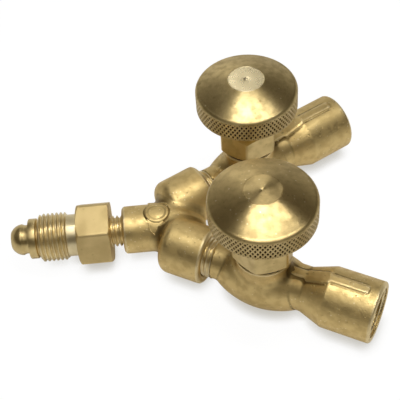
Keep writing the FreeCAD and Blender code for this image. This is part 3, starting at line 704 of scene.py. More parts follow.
class Carving:
    """Geometry node trees that press a pattern into a lathe mesh along its radius."""

    def __init__(self, name: str, inputs: dict[str, object]) -> None:
        """Start a tree.

        Args:
            name: The tree's name.
            inputs: Default value of each of its sizes, by name.
        """
        whole = {"Geometry": "NodeSocketGeometry", "Material": "NodeSocketMaterial", **inputs}
        self.group = Group("GeometryNodeTree", name, whole, {"Geometry": "NodeSocketGeometry"})
        group = self.group
        self.given = group.source
        self.place = group.node("GeometryNodeInputPosition").outputs[0]
        parts = group.node("ShaderNodeSeparateXYZ")
        group.feed(parts.inputs[0], self.place)
        across, depth, self.along = parts.outputs
        angle = group.maths("ARCTAN2", depth, across)
        self.turns = group.maths("DIVIDE", angle, FULL_TURN)
        spoke = group.node("ShaderNodeCombineXYZ")
        group.feed(spoke.inputs[0], across)
        group.feed(spoke.inputs[1], depth)
        outward = group.node("ShaderNodeVectorMath", operation="NORMALIZE")
        group.feed(outward.inputs[0], spoke.outputs[0])
        self.outward = outward.outputs[0]

    def within(self, rim: object) -> bpy.types.NodeSocket:
        """Keep a pattern between the Start and End inputs.

        Args:
            rim: Over what length it fades inside them.

        Returns:
            The socket with 1 between them and 0 outside.
        """
        group, given = self.group, self.given
        low = group.ramp(self.along, given["Start"], group.maths("ADD", given["Start"], rim))
        high = group.ramp(self.along, group.maths("SUBTRACT", given["End"], rim), given["End"])
        return group.maths("MULTIPLY", low, group.maths("SUBTRACT", 1.0, high))

    def close(self, press: bpy.types.NodeSocket) -> bpy.types.NodeTree:
        """Press the mesh in, keep the press as the attribute hollow, and end the tree.

        Args:
            press: From 0 to 1, how much of the Depth input each point moves inwards.

        Returns:
            The finished tree.
        """
        group, given = self.group, self.given
        keep = group.node("GeometryNodeStoreNamedAttribute", data_type="FLOAT", domain="POINT")
        group.feed(keep.inputs["Geometry"], given["Geometry"])
        group.feed(keep.inputs["Name"], "hollow")
        group.feed(keep.inputs["Value"], press)
        shift = group.node("ShaderNodeVectorMath", operation="SCALE")
        group.feed(shift.inputs[0], self.outward)
        inward = group.maths("MULTIPLY", group.maths("MULTIPLY", press, given["Depth"]), -1.0)
        group.feed(shift.inputs["Scale"], inward)
        move = group.node("GeometryNodeSetPosition")
        group.feed(move.inputs["Geometry"], keep.outputs[0])
        group.feed(move.inputs["Offset"], shift.outputs[0])
        real = group.node("GeometryNodeRealizeInstances")
        group.feed(real.inputs["Geometry"], move.outputs[0])
        dress = group.node("GeometryNodeSetMaterial")
        group.feed(dress.inputs["Geometry"], real.outputs[0])
        group.feed(dress.inputs["Material"], given["Material"])
        group.feed(group.result["Geometry"], dress.outputs[0])
        return group.tree


def make_thread_tree() -> bpy.types.NodeTree:
    """Make the tree that cuts a helical thread, with a Depth below 0 for a nut's thread.

    Returns:
        The tree.
    """
    carving = Carving("ThreadRidges", {
        "Pitch": PITCH, "Depth": 0.8, "Start": 0.0, "End": 8.0, "Run Out": 0.6, "Crest": 0.06,
    })
    group, given = carving.group, carving.given
    climb = group.maths("DIVIDE", carving.along, given["Pitch"])
    phase = group.maths("FRACT", group.maths("SUBTRACT", climb, carving.turns))
    swing = group.maths("SUBTRACT", group.maths("MULTIPLY", phase, 2.0), 1.0)
    valley = group.maths("SUBTRACT", 1.0, group.maths("ABSOLUTE", swing))
    press = group.ramp(valley, given["Crest"], 0.96)
    return carving.close(group.maths("MULTIPLY", press, carving.within(given["Run Out"])))


def make_knurl_tree() -> bpy.types.NodeTree:
    """Make the tree that presses staggered rows of diamond pits into a rim.

    Returns:
        The tree.
    """
    carving = Carving("KnurlPits", {
        "Around": 72, "Row": 1.08, "Depth": 0.4, "Start": 0.0, "End": 6.6, "Margin": 0.35,
        "Ridge": 0.42,
    })
    group, given = carving.group, carving.given
    rows = group.maths("SUBTRACT", carving.along, given["Start"])
    climb = group.maths("DIVIDE", rows, group.maths("MULTIPLY", given["Row"], 2.0))
    around = group.maths("MULTIPLY", carving.turns, given["Around"])
    waves = []
    for way in ("ADD", "SUBTRACT"):
        phase = group.maths("MULTIPLY", group.maths(way, around, climb), math.pi)
        waves.append(group.maths("ABSOLUTE", group.maths("SINE", phase)))
    pit = group.ramp(group.maths("MINIMUM", *waves), given["Ridge"], 0.98)
    return carving.close(group.maths("MULTIPLY", pit, carving.within(given["Margin"])))


def threaded(mesh: bpy.types.Mesh, depth: float, start: float, end: float,
             run_out: float) -> bpy.types.Mesh:
    """Cut a thread of the common pitch into a lathe mesh.

    Args:
        mesh: The lathe mesh.
        depth: How deep the thread is, below 0 for a nut's thread.
        start: Where it starts along the axis.
        end: Where it ends.
        run_out: Over what length it fades at both ends.

    Returns:
        The threaded mesh, under the same name.
    """
    return with_tree(mesh, bpy.data.node_groups["ThreadRidges"], {
        "Pitch": PITCH, "Depth": depth, "Start": start, "End": end, "Run Out": run_out,
        "Material": THREADED_LIT.make(),
    })


@dataclass
class Layout:
    """Where the connector's axes lie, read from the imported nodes, in millimetres."""

    meet: Vector = Vector((25.0, 0.0, 0.0))

    def stem(self, side: Side) -> Vector:
        """Find the stem axis of a valve.

        Args:
            side: The valve.

        Returns:
            A point on the axis, at the height of the flow axis.
        """
        low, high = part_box(side.value + "_stem")
        middle = (low + high) / (2 * MM)
        return Vector((middle.x, middle.y, 0.0))

    def flow(self, side: Side) -> Vector:
        """Return the way that the gas leaves through a branch."""
        return (self.stem(side) - self.meet).normalized()


@dataclass
class HexPrism:
    """A hexagon whose corners are turned away in a cone at both faces, in millimetres."""

    name: str
    across: float
    low: float
    high: float
    turn: float
    face_radii: tuple[float, float]
    inner: tuple[float, float]
    chamfer_angle: float = 30.0
    corner_rounding: float = 0.18
    face_rounding: float = 0.08
    rows: tuple[float, ...] = (0.0, 0.05, 0.15, 0.3, 0.5, 0.7, 0.9, 1.1, 1.4, 2.0)

    def mesh(self) -> bpy.types.Mesh:
        """Turn a dense grid whose radius follows the flats, the corners and the cones.

        Returns:
            The mesh, in millimetres.
        """
        slope = 1 / math.tan(math.radians(self.chamfer_angle))
        apothem = self.across / 2
        corner = apothem / math.cos(math.radians(30)) - self.corner_rounding
        zero = math.radians(self.turn)
        length = self.high - self.low
        places = [self.low + step for step in self.rows]
        places += [self.low + length / 2] + [self.high - step for step in reversed(self.rows)]
        limits = []
        for place in places:
            ends = zip(self.face_radii, (place - self.low, self.high - place))
            limits.append(min(face - max(self.face_rounding - inside, 0.0) + inside * slope
                              for face, inside in ends))
        outline = [(self.low, self.inner[0])] + list(zip(places, limits)) + [
            (self.high, self.inner[1])]
        inner = set(self.inner)

        def rule(angle: float, limit: float) -> float:
            """Return the hexagon's radius at an angle.

            Args:
                angle: The angle round the axis.
                limit: The radius that the cone allows there.

            Returns:
                The radius.
            """
            if limit in inner:
                return limit
            turned = (angle - zero) % (FULL_TURN / 6) - FULL_TURN / 12
            return min(apothem / math.cos(turned), corner, limit)

        return lathe_mesh(self.name, outline, 240, rule)


@dataclass
class InletAdaptor:
    """The one-piece male adaptor: bullet nose, land, thread, hexagon and nipple."""

    body: str = "body"
    slot: str = "machined_brass"
    nose_tip: float = -13.6
    nose_back: float = -9.2
    tip_radius: float = 2.9
    nose_radius: float = 5.1
    nose_rounding: float = 4.4
    groove_radius: float = 4.7
    land: tuple[float, float] = (-7.7, -5.2)
    land_radius: float = 6.6
    neck: tuple[float, float] = (-4.75, 5.45)
    shoulder_radius: float = 7.1
    thread: tuple[float, float] = (-4.2, 4.2)
    thread_radius: float = 7.9
    thread_start: tuple[float, float] = (6.9, 7.35)
    thread_lead: float = 0.5
    thread_depth: float = 0.86
    relief_radius: float = 6.85
    relief_run: float = 0.75
    hexagon: tuple[float, float] = (8.3, 19.0)
    across: float = 19.05
    hexagon_turn: float = 13.0
    hexagon_face_radii: tuple[float, float] = (9.4, 10.3)
    nipple_end: float = 24.5
    nipple_radius: float = 5.15
    nipple_taper: float = 0.17
    nipple_depth: float = 0.85
    bore: float = 2.0
    bore_shown: float = 5.0

    def place(self) -> Matrix:
        """Lay the lathe's axis along +X, with its zero angle towards +Y."""
        turn = Matrix(((0, 0, 1), (1, 0, 0), (0, 1, 0))).to_4x4()
        return Matrix.Scale(MM, 4) @ turn

    def nose(self) -> bpy.types.Mesh:
        """Turn the bullet nose, its bore's mouth and the land behind it.

        Returns:
            The mesh, in millimetres.
        """
        tip, back, root = self.nose_tip, self.nose_back, self.thread[0]
        low, high = self.land
        depth = tip + self.bore_shown
        mouth = softened([(depth, self.bore, 0), (tip, self.bore, 0.15),
                          (tip, self.tip_radius, 0)])
        crown = arc((tip, self.tip_radius), (back - 0.9, self.nose_radius),
                    self.nose_rounding, 14)
        rest = softened([
            (back - 0.85, self.nose_radius - 0.02, 0), (back, self.groove_radius, 0.3),
            (low, self.groove_radius, 0.15), (low, self.land_radius, 0.22),
            (high, self.land_radius, 0.22), (*self.neck, 0.2),
            (root, self.shoulder_radius, 0.1), (root + 0.4, self.shoulder_radius, 0),
        ])
        outline = [(depth, 0.0)] + mouth + crown + rest
        return lathe_mesh("inlet_nose", outline, 128)

    def threads(self) -> bpy.types.Mesh:
        """Cut the male thread and turn the relief behind it.

        Returns:
            The mesh, in millimetres.
        """
        low, high = self.thread
        foot, start = self.thread_start
        outline = softened([
            (low, foot, 0), (low, start, 0.08), (low + self.thread_lead, self.thread_radius, 0.08),
            (high, self.thread_radius, 0.12), (high + self.relief_run, self.relief_radius, 0.3),
            (self.hexagon[0], self.relief_radius, 0),
        ])
        mesh = lathe_mesh("inlet_thread", divided(outline, PITCH / 14), 180)
        return threaded(mesh, self.thread_depth, low - 0.5, high + 0.5, 0.7)

    def nipple(self) -> bpy.types.Mesh:
        """Cut the pipe thread that shows between the hexagon and the Y body.

        Returns:
            The mesh, in millimetres.
        """
        start, radius = self.hexagon[1], self.nipple_radius
        outline = [(start, radius), (self.nipple_end, radius - self.nipple_taper)]
        mesh = lathe_mesh("inlet_nipple", divided(outline, PITCH / 14), 144)
        return threaded(mesh, self.nipple_depth, start - 0.3, self.nipple_end + 2, 0.7)

    def build(self) -> None:
        """Make the adaptor's pieces."""
        inner = (self.relief_radius - 0.1, self.nipple_radius - 0.9)
        nut = HexPrism("inlet_hex", self.across, *self.hexagon, self.hexagon_turn,
                       self.hexagon_face_radii, inner)
        for mesh, finish in (
            (self.nose(), TURNED),
            (self.threads(), THREADED_LIT),
            (nut.mesh(), MILLED),
            (self.nipple(), THREADED_LIT),
        ):
            piece = finish_piece(mesh, self.place(), finish.make(), self.body,
                                 Shading.MACHINED)
            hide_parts("inlet_adaptor")


def mark_cavities(mesh: bpy.types.Mesh, reach: int = 14, full: float = 0.06) -> None:
    """Store how hollow a fine skin is at each point, as the attribute cavity.

    Args:
        mesh: The skin, with points about evenly spread.
        reach: How many neighbours away the measure is averaged.
        full: The bend, as a share of the spacing, that counts as fully hollow.
    """
    count = len(mesh.vertices)
    ends = numpy.empty(2 * len(mesh.edges), dtype=numpy.int64)
    mesh.edges.foreach_get("vertices", ends)
    first, second = ends[0::2], ends[1::2]
    places, normals = numpy.empty(3 * count), numpy.empty(3 * count)
    mesh.vertices.foreach_get("co", places)
    mesh.vertices.foreach_get("normal", normals)
    places, normals = places.reshape(-1, 3), normals.reshape(-1, 3)
    spacing = numpy.linalg.norm(places[first] - places[second], axis=1).mean()
    degree = numpy.bincount(ends, minlength=count).clip(1)

    def average(values: numpy.ndarray) -> numpy.ndarray:
        """Return the mean of each point's neighbours.

        Args:
            values: One number for each point.

        Returns:
            The means, in the points' order.
        """
        total = numpy.bincount(first, values[second], count)
        return (total + numpy.bincount(second, values[first], count)) / degree

    middle = numpy.stack([average(places[:, axis]) for axis in range(3)], axis=1)
    bend = ((middle - places) * normals).sum(axis=1) / spacing
    for _ in range(reach):
        bend = (bend + average(bend)) / 2
    stored = mesh.attributes.new("cavity", "FLOAT", "POINT")
    stored.data.foreach_set("value", numpy.clip(bend / full, -1.0, 1.0).astype(numpy.float32))


@dataclass
class ForgedSkin:
    """A forged node remade as one fine skin with soft hollows and blended seams.

    The voxel is in millimetres, and crispness is how far edges come back to the solid.
    """

    node: str
    voxel: float = 0.30
    passes: int = 8
    seam_passes: int = 160
    crispness: float = 0.80

    def mesh(self, name: str, softness: Callable[[Vector], float]) -> bpy.types.Mesh:
        """Rebuild the node's mesh from small cells and smooth it.

        Args:
            name: The new mesh's name.
            softness: From 0 to 1, how much the seam at a place is blended.

        Returns:
            The skin, in metres, in the row's frame.
        """
        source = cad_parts[self.node].data.copy()
        source.name = name

        def rebuild(holder: bpy.types.Object) -> None:
            """Add the modifier that makes the cells.

            Args:
                holder: The object that holds the mesh.
            """
            remesh = holder.modifiers.new("cells", "REMESH")
            remesh.mode = "VOXEL"
            remesh.voxel_size = self.voxel * MM

        cells = evaluated(source, rebuild)

        def soften(holder: bpy.types.Object) -> None:
            """Smooth the seams well and the rest a little.

            Args:
                holder: The object that holds the cells.
            """
            seams = holder.vertex_groups.new(name="seams")
            for vertex in cells.vertices:
                share = softness(vertex.co)
                if share > 0:
                    seams.add([vertex.index], share, "REPLACE")
            for group, passes in (("seams", self.seam_passes), ("", self.passes)):
                smooth = holder.modifiers.new("smooth", "SMOOTH")
                smooth.factor = 0.5
                smooth.iterations = passes
                smooth.vertex_group = group

        skin = evaluated(cells, soften)
        self.sharpen(skin, softness)
        return skin

    def sharpen(self, skin: bpy.types.Mesh, softness: Callable[[Vector], float]) -> None:
        """Bring edges back out to the solid, for crisp ends, and leave hollows smooth.

        Args:
            skin: The smoothed skin.
            softness: From 0 to 1, how much the seam at a place is blended.
        """
        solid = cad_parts[self.node].data
        surface = BVHTree.FromPolygons([vertex.co for vertex in solid.vertices],
                                       [face.vertices[:] for face in solid.polygons])
        sharpened = {}
        for vertex in skin.vertices:
            near = surface.find_nearest(vertex.co)[0]
            if (near - vertex.co).dot(vertex.normal) > 0:
                share = self.crispness * (1.0 - softness(vertex.co))
                sharpened[vertex.index] = vertex.co.lerp(near, share)
        for index, place in sharpened.items():
            skin.vertices[index].co = place


@dataclass
class YBody:
    """The forged Y body, in millimetres.

    The bare pad's rim lies between two grooves, drawn only as painted shade, whose darkness is a
    share of a full hollow's painted shade.
    """

    layout: Layout
    body: str = "body"
    slot: str = "forged_brass"
    barrel_radius: float = 7.8
    pad_radius: float = 4.0
    pad_from_meet: float = 9.6
    pad_rise: float = 0.22
    rim_radius: float = 3.5
    rim_rise: float = 0.2
    rim_width: float = 0.38
    rim_wear: float = 0.7
    outer_groove: tuple[float, float] = (0.30, 0.28)
    inner_groove: tuple[float, float] = (0.28, 0.16)

    def shape_pad(self, mesh: bpy.types.Mesh) -> None:
        """Curve the bare round pad along the barrel, with a low rim in a groove of painted shade.

        Args:
            mesh: The body's skin, with its cavities marked.
        """
        centre = self.layout.meet.x + self.pad_from_meet
        outer_width, outer_groove_shade = self.outer_groove
        inner_width, inner_groove_shade = self.inner_groove
        cavity = mesh.attributes["cavity"].data
        for vertex in mesh.vertices:
            x, y, z = (value / MM for value in vertex.co)
            away = math.hypot(x - centre, y)
            if z < 0 or away > self.pad_radius + 0.9:
                continue
            radius = math.hypot(y, z)
            inside = smooth_step(self.pad_radius + 0.2, self.pad_radius - 0.1, away)
            rim = math.exp(-(((away - self.rim_radius) / self.rim_width) ** 2))
            ceiling = self.barrel_radius + self.pad_rise * inside + self.rim_rise * rim
            if away < self.pad_radius + 0.5 and (radius > ceiling or away < self.rim_radius):
                vertex.co.y *= ceiling / radius
                vertex.co.z *= ceiling / radius
            # Painted shade: the two grooves are drawn as dark rings through the cavity measure;
            # the worn rim is lighter.
            outer = math.exp(-(((away - self.pad_radius - 0.15) / outer_width) ** 2))
            inner = math.exp(-(((away - self.rim_radius + 0.75) / inner_width) ** 2))
            cavity[vertex.index].value = max(outer_groove_shade * outer, inner_groove_shade * inner,
                                             -self.rim_wear * rim)

    def build(self) -> None:
        """Make the forged skin."""
        mesh = ForgedSkin("y_body").mesh("y_body_skin", lambda spot: 0.0)
        mark_cavities(mesh)
        self.shape_pad(mesh)
        piece = finish_piece(mesh, Matrix.Identity(4), FORGED.make(), self.body,
                             Shading.FORGED)
        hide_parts("y_body")


@dataclass
class Valve:
    """One valve: forged body, bonnet, gasket, stem pieces and knob, in millimetres.

    Places along the branch count from the stem axis, and heights from the flow axis.
    """

    layout: Layout
    side: Side
    bonnet_turn: float
    crown: Brass
    centre: Brass
    nipple: tuple[float, float] = (-19.4, -16.1)
    nipple_radius: float = 6.5
    nipple_core: float = 5.5
    nipple_passage: float = 4.0
    nipple_depth: float = 0.6
    boss_radius: float = 8.9
    boss_top: float = 11.7
    rib_half: float = 2.0
    outlet_end: float = 37.5
    outlet_thread: float = 11.0
    outlet_minor: float = 7.25
    outlet_major: float = 7.95
    bonnet: tuple[float, float] = (12.3, 21.5)
    bonnet_across: float = 17.46
    bonnet_face_radius: float = 8.3
    bonnet_foot_radius: float = 7.2
    collar: tuple[float, float] = (6.2, 23.5)
    shank_radius: float = 4.0
    hub: tuple[float, float] = (6.5, 25.0)
    hub_bore: float = 3.2
    rim: tuple[float, float] = (29.4, 36.0)
    rim_radius: float = 16.3
    rim_foot: float = 0.9
    knurls: int = 72
    knurl_row: float = 1.08
    knurl_depth: float = 0.42
    crown_edge: tuple[float, float] = (37.1, 15.2)
    edge_rounding: float = 1.4
    crown_top: float = 40.6
    crown_rounding: float = 45.0
    flat_radius: float = 5.8

    def name(self, part: str) -> str:
        """Name one of this valve's pieces or nodes."""
        return f"{self.side.value}_{part}"

    def along_branch(self) -> Matrix:
        """Lay the lathe's axis along the branch.

        Returns:
            The matrix, from millimetres on the lathe to metres in the row's frame.
        """
        along = self.layout.flow(self.side)
        first = Vector((0, 0, 1)).cross(along).normalized()
        turn = Matrix((first, along.cross(first), along)).transposed().to_4x4()
        return Matrix.Scale(MM, 4) @ Matrix.Translation(self.layout.stem(self.side)) @ turn

    def up_stem(self) -> Matrix:
        """Lay the lathe's axis up the stem, with its zero angle along the branch.

        Returns:
            The matrix, from millimetres on the lathe to metres in the row's frame.
        """
        flow = self.layout.flow(self.side)
        turn = Matrix.Rotation(math.atan2(flow.y, flow.x), 4, "Z")
        return Matrix.Scale(MM, 4) @ Matrix.Translation(self.layout.stem(self.side)) @ turn

    def forged_body(self) -> bpy.types.Mesh:
        """Make the forged skin, with room for the threads of nipple and outlet.

        Returns:
            The mesh, in metres, in the row's frame.
        """
        there = self.along_branch()
        back = there.inverted()
        stem, flow = self.layout.stem(self.side), self.layout.flow(self.side)

        def softness(spot: Vector) -> float:
            """Blend the ring round the bonnet's boss, below its rim and beside the rib.

            Args:
                spot: A place on the skin, in metres.

            Returns:
                From 0 to 1, how much the seam is blended there.
            """
            local = spot / MM - stem
            if local.dot(flow) > 0 and abs(local.cross(flow).z) < self.rib_half:
                return 0.0
            away = math.hypot(local.x, local.y)
            near = smooth_step(self.boss_radius + 4.5, self.boss_radius + 1.0, away)
            near *= smooth_step(self.boss_radius - 2.2, self.boss_radius - 1.2, away)
            return near * smooth_step(self.boss_top - 0.4, self.boss_top - 1.6, local.z)

        mesh = ForgedSkin(self.name("valve_body")).mesh(self.name("valve_skin"), softness)
        mark_cavities(mesh)
        thread_start = self.outlet_end - self.outlet_thread
        wall = self.outlet_major + 0.1
        for vertex in mesh.vertices:
            local = back @ vertex.co
            radius = math.hypot(local.x, local.y)
            if local.z < self.nipple[1] + 0.05 and radius > self.nipple_passage:
                reach = min(radius, self.nipple_core)
            elif thread_start < local.z < self.outlet_end - 0.3 and radius < wall + 0.05:
                reach = max(radius, wall)
            else:
                continue
            local.x *= reach / radius
            local.y *= reach / radius
            vertex.co = there @ local
        return mesh

    def nipple_thread(self) -> bpy.types.Mesh:
        """Cut the ridges that show between the Y body and the belly.

        Returns:
            The mesh, in millimetres.
        """
        (low, high), radius = self.nipple, self.nipple_radius
        outline = divided([(low, radius - 0.1), (high, radius)], PITCH / 14)
        mesh = lathe_mesh(self.name("nipple_thread"), outline, 160)
        return threaded(mesh, self.nipple_depth, low - 3, high + 0.5, 0.6)

    def outlet_threads(self) -> bpy.types.Mesh:
        """Cut the female thread inside the outlet.

        Returns:
            The mesh, in millimetres.
        """
        high = self.outlet_end - 0.35
        low = self.outlet_end - self.outlet_thread
        outline = divided([
            (high, self.outlet_major + 0.15), (high - 0.7, self.outlet_minor),
            (low, self.outlet_minor), (low - 0.02, self.outlet_major)], PITCH / 12)
        mesh = lathe_mesh(self.name("outlet_thread"), outline, 144)
        return threaded(mesh, self.outlet_minor - self.outlet_major, low, high, 0.5)

    def bonnet_hex(self) -> bpy.types.Mesh:
        """Mill the bonnet's hexagon.

        Returns:
            The mesh, in millimetres.
        """
        face, inner = self.bonnet_face_radius, (self.bonnet_foot_radius, self.collar[0] - 0.2)
        return HexPrism(self.name("bonnet_hex"), self.bonnet_across, *self.bonnet,
                        self.bonnet_turn, (face, face), inner).mesh()

    def bonnet_collar(self) -> bpy.types.Mesh:
        """Turn the collar that the stem's shank comes out of.

        Returns:
            The mesh, in millimetres.
        """
        (collar, top), shank = self.collar, self.shank_radius
        outline = softened([(self.bonnet[1] - 0.3, collar, 0), (top, collar, 0.25),
                            (top, shank, 0.1), (top - 4, shank, 0)])
        return lathe_mesh(self.name("bonnet_collar"), outline, 96)

    def build_body(self) -> None:
        """Make the fixed pieces: skin, threads, bonnet and its collar."""
        along = self.along_branch()
        for mesh, place, finish, shading in (
            (self.forged_body(), Matrix.Identity(4), FORGED, Shading.FORGED),
            (self.nipple_thread(), along, THREADED_LIT, Shading.MACHINED),
            (self.outlet_threads(), along, THREADED_LIT, Shading.MACHINED),
        ):
            piece = finish_piece(mesh, place, finish.make(), "body", shading)
            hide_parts(self.name("valve_body"))
        for mesh, finish in ((self.bonnet_hex(), SHADED_BONNET), (self.bonnet_collar(), TURNED)):
            piece = finish_piece(mesh, self.up_stem(), finish.make(), "body",
                                 Shading.MACHINED)
            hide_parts(self.name("bonnet"))

    def knob_rim(self) -> bpy.types.Mesh:
        """Knurl the knob's rim.

        Returns:
            The mesh, in millimetres.
        """
        (low, high), radius = self.rim, self.rim_radius
        outline = softened([(low, radius - self.rim_foot, 0), (low, radius - 0.1, 0.25),
                            (low + 0.3, radius, 0.1), (high, radius, 0)])
        mesh = lathe_mesh(self.name("knob_rim"), divided(outline, 0.13), 864)
        return with_tree(mesh, bpy.data.node_groups["KnurlPits"], {
            "Around": self.knurls, "Row": self.knurl_row, "Depth": self.knurl_depth,
            "Start": low + 0.1, "End": high, "Margin": 0.4, "Ridge": 0.45,
            "Material": KNURLED.make(),
        })

    def knob_crown(self) -> bpy.types.Mesh:
        """Turn the rounded edge and the low crown.

        Returns:
            The mesh, in millimetres.
        """
        rim, flat = (self.rim[1], self.rim_radius), (self.crown_top, self.flat_radius)
        rounding = arc(rim, self.crown_edge, self.edge_rounding, 8)
        dome = arc(self.crown_edge, flat, self.crown_rounding, 30)
        return lathe_mesh(self.name("knob_crown"), [rim] + rounding + dome, 256)

    def knob_centre(self) -> bpy.types.Mesh:
        """Turn the flat centre with its fine ring and centre mark.

        Returns:
            The mesh, in millimetres.
        """
        top, radius = self.crown_top, self.flat_radius
        groove = [(top, radius), (top - 0.07, radius - 0.08), (top - 0.07, radius - 0.16)]
        mark = [(top, 0.9), (top - 0.02, 0.45), (top - 0.3, 0.0)]
        outline = groove + [(top, radius - 0.26), (top, radius * 0.6)] + mark
        return lathe_mesh(self.name("knob_centre"), outline, 192)

    def knob_hub(self) -> bpy.types.Mesh:
        """Turn the hub and the underside of the knob.

        Returns:
            The mesh, in millimetres.
        """
        (radius, low), high = self.hub, self.rim[0]
        outline = softened([(low, self.hub_bore, 0), (low, radius, 0.35), (high, radius, 0.6),
                            (high, self.rim_radius - self.rim_foot, 0)])
        return lathe_mesh(self.name("knob_hub"), outline, 128)

    def build_knob(self) -> None:
        """Make the knob's pieces."""
        for mesh, finish in (
            (self.knob_crown(), self.crown),
            (self.knob_centre(), self.centre),
            (self.knob_rim(), KNURLED),
            (self.knob_hub(), TURNED),
        ):
            piece = finish_piece(mesh, self.up_stem(), finish.make(), self.name("stem"),
                                 Shading.MACHINED)
            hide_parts(self.name("knob"))

    def dress_nodes(self) -> None:
        """Give the small CAD nodes their finishes."""
        for part, finish in (
            ("bonnet_gasket", GASKET), ("stem", TURNED), ("thrust_washer", WHITE_RING),
            ("stem_o_ring", SEAL), ("backup_ring", WHITE_RING), ("seat_holder", TURNED),
            ("seat_disc", SEAT),
        ):
            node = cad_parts[self.name(part)]
            node.data.materials.clear()
            node.data.materials.append(finish.make())
            LOG.info("%s keeps its solid, in %s", node.name, finish.name)

    def build(self) -> None:
        """Make the whole valve."""
        self.build_body()
        self.build_knob()
        self.dress_nodes()


@dataclass(frozen=True)
class Softbox:
    """A soft rectangular lamp, in millimetres, whose radiance is 1 for plain white."""

    name: str
    place: tuple[float, float, float]
    width: float
    height: float
    radiance: float

    def hang(self, target: Vector) -> None:
        """Add the lamp.

        Args:
            target: What it points at, in millimetres.
        """
        data = bpy.data.lights.new(self.name, "AREA")
        data.shape = "RECTANGLE"
        data.size, data.size_y = self.width * MM, self.height * MM
        data.energy = self.radiance * math.pi * data.size * data.size_y
        lamp = bpy.data.objects.new(self.name, data)
        place = Vector(self.place)
        lamp.location = place * MM
        lamp.rotation_euler = (target - place).to_track_quat("-Z", "Y").to_euler()
        bpy.context.scene.collection.objects.link(lamp)


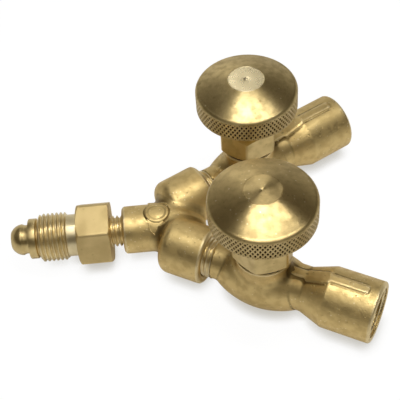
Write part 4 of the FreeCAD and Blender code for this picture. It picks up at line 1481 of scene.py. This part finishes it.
@dataclass
class Studio:
    """The pale floor, the soft lights and the camera at the photograph's place.

    Lengths are in millimetres. The camera's axes and place come from a fit of the
    object's real sizes to the photograph.
    """

    camera_place: Vector = Vector((48.84, -204.97, 250.72))
    camera_right: Vector = Vector((0.99572, -0.07286, -0.05690))
    camera_up: Vector = Vector((0.09235, 0.75507, 0.64911))
    focal_length: float = 88.56
    shift: tuple[float, float] = (-0.0095, -0.0030)
    ceiling: tuple[float, float, float] = (0.060, 0.048, 0.030)
    horizon: tuple[float, float, float] = (0.68, 0.665, 0.615)
    horizon_band: tuple[float, float] = (0.02, 0.16)
    band_rise_behind: tuple[float, float] = (0.10, 0.34)
    contact_shade: tuple[float, float, float] = (0.58, 0.56, 0.51)
    contact_reach: float = 5.0
    floor_half: float = 2000.0
    floor_albedo: float = 0.93
    floor_white: float = 1.05
    white_when_seen: float = 0.92
    white_when_mirrored: float = 0.20
    target: Vector = Vector((60.0, 0.0, 10.0))
    lamps: tuple[Softbox, ...] = (
        Softbox("overhead", (60.0, -160.0, 430.0), 330.0, 240.0, 1.75),
        Softbox("strip", (42.0, 10.0, 440.0), 15.0, 170.0, 58.0),
        Softbox("right", (195.0, 20.0, 430.0), 56.0, 150.0, 13.0),
        Softbox("back", (33.0, 295.0, 350.0), 110.0, 110.0, 2.2),
        Softbox("far", (6.0, 396.0, 205.0), 120.0, 150.0, 0.8),
    )

    def add_camera(self) -> None:
        """Set the camera."""
        data = bpy.data.cameras.new("photo_camera")
        data.lens = self.focal_length
        data.sensor_width = 36.0
        data.shift_x, data.shift_y = self.shift
        data.clip_start, data.clip_end = 0.01, 10.0
        camera = bpy.data.objects.new("photo_camera", data)
        right = self.camera_right.normalized()
        back = right.cross(self.camera_up).normalized()
        up = back.cross(right)
        turn = Matrix((right, up, back)).transposed().to_4x4()
        camera.matrix_world = Matrix.Translation(self.camera_place * MM) @ turn
        bpy.context.scene.collection.objects.link(camera)
        bpy.context.scene.camera = camera

    def add_floor(self) -> None:
        """Lay the pale floor under the lowest point of the part, with a painted contact shadow
        round it.
        """
        half, level = self.floor_half * MM, CAD_BOX[0].z
        mesh = bpy.data.meshes.new("floor")
        corners = [(-half, -half, level), (half, -half, level), (half, half, level),
                   (-half, half, level)]
        mesh.from_pydata(corners, [], [(0, 1, 2, 3)])
        material = bpy.data.materials.new("floor")
        material.use_nodes = True
        tree = Tree(material.node_tree)
        nodes = tree.tree.nodes
        nodes.remove(nodes["Principled BSDF"])
        dull = tree.node("ShaderNodeBsdfDiffuse")
        dull.inputs["Color"].default_value = (*(self.floor_albedo,) * 3, 1.0)
        white = tree.node("ShaderNodeEmission")
        # Painted shadow: the floor's white darkens where the part comes close to it.
        shelter = tree.node("ShaderNodeAmbientOcclusion", samples=8)
        shelter.inputs["Distance"].default_value = self.contact_reach * MM
        shade = tree.ramp(shelter.outputs["AO"], 0.25, 0.95)
        lit = (*(self.floor_white,) * 3, 1.0)
        tree.feed(white.inputs["Color"], tree.mixed(shade, (*self.contact_shade, 1.0), lit))
        mix = tree.node("ShaderNodeMixShader")
        tree.feed(mix.inputs[0], self.plain_rays(tree))
        tree.feed(mix.inputs[1], dull.outputs[0])
        tree.feed(mix.inputs[2], white.outputs[0])
        tree.feed(nodes["Material Output"].inputs["Surface"], mix.outputs[0])
        mesh.materials.append(material)
        floor = bpy.data.objects.new("floor", mesh)
        bpy.context.scene.collection.objects.link(floor)

    def plain_rays(self, tree: Tree) -> bpy.types.NodeSocket:
        """Make the floor plainly white to the camera's rays and a little to reflections.

        Args:
            tree: The floor's material tree.

        Returns:
            The socket with the share of plain white.
        """
        rays = tree.node("ShaderNodeLightPath").outputs
        mirrored = tree.maths("MAXIMUM", rays["Is Glossy Ray"], rays["Is Transmission Ray"])
        soft = tree.maths("MULTIPLY", mirrored, self.white_when_mirrored)
        seen = tree.maths("MULTIPLY", rays["Is Camera Ray"], self.white_when_seen)
        return tree.maths("MAXIMUM", seen, soft)

    def add_world(self) -> None:
        """Surround the part with a white horizon, taller behind it, under a dim ceiling."""
        world = bpy.data.worlds.new("studio")
        bpy.context.scene.world = world
        world.use_nodes = True
        tree = Tree(world.node_tree)
        shade = tree.tree.nodes["Background"]
        place = tree.node("ShaderNodeTexCoord").outputs["Generated"]
        parts = tree.node("ShaderNodeSeparateXYZ")
        tree.feed(parts.inputs[0], place)
        behind = tree.ramp(parts.outputs["Y"], -0.2, 0.6)
        band = [tree.maths("ADD", level, tree.maths("MULTIPLY", behind, rise))
                for level, rise in zip(self.horizon_band, self.band_rise_behind)]
        climb = tree.ramp(parts.outputs["Z"], *band)
        wall = tree.mixed(climb, (*self.horizon, 1.0), (*self.ceiling, 1.0))
        camera = tree.node("ShaderNodeLightPath").outputs["Is Camera Ray"]
        tree.feed(shade.inputs["Color"], tree.mixed(camera, wall, WHITE))

    def build(self) -> None:
        """Make the floor, lights, world and camera."""
        self.add_floor()
        self.add_world()
        for lamp in self.lamps:
            lamp.hang(self.target)
        self.add_camera()


def main() -> None:
    """Build the part's looks and the studio in order."""
    logging.basicConfig(level=logging.INFO, format="%(name)s %(message)s")
    bpy.context.scene.view_settings.view_transform = "Standard"
    make_brass_skin()
    make_tool_lines()
    make_thread_tree()
    make_knurl_tree()
    layout = Layout()
    InletAdaptor().build()
    YBody(layout).build()
    Valve(layout, Side.LEFT, 53.5, WORN_CROWN, LIT_CENTRE).build()
    Valve(layout, Side.RIGHT, 39.0, CROWN, CROWN).build()
    Studio().build()


if __name__ == "__main__":
    main()
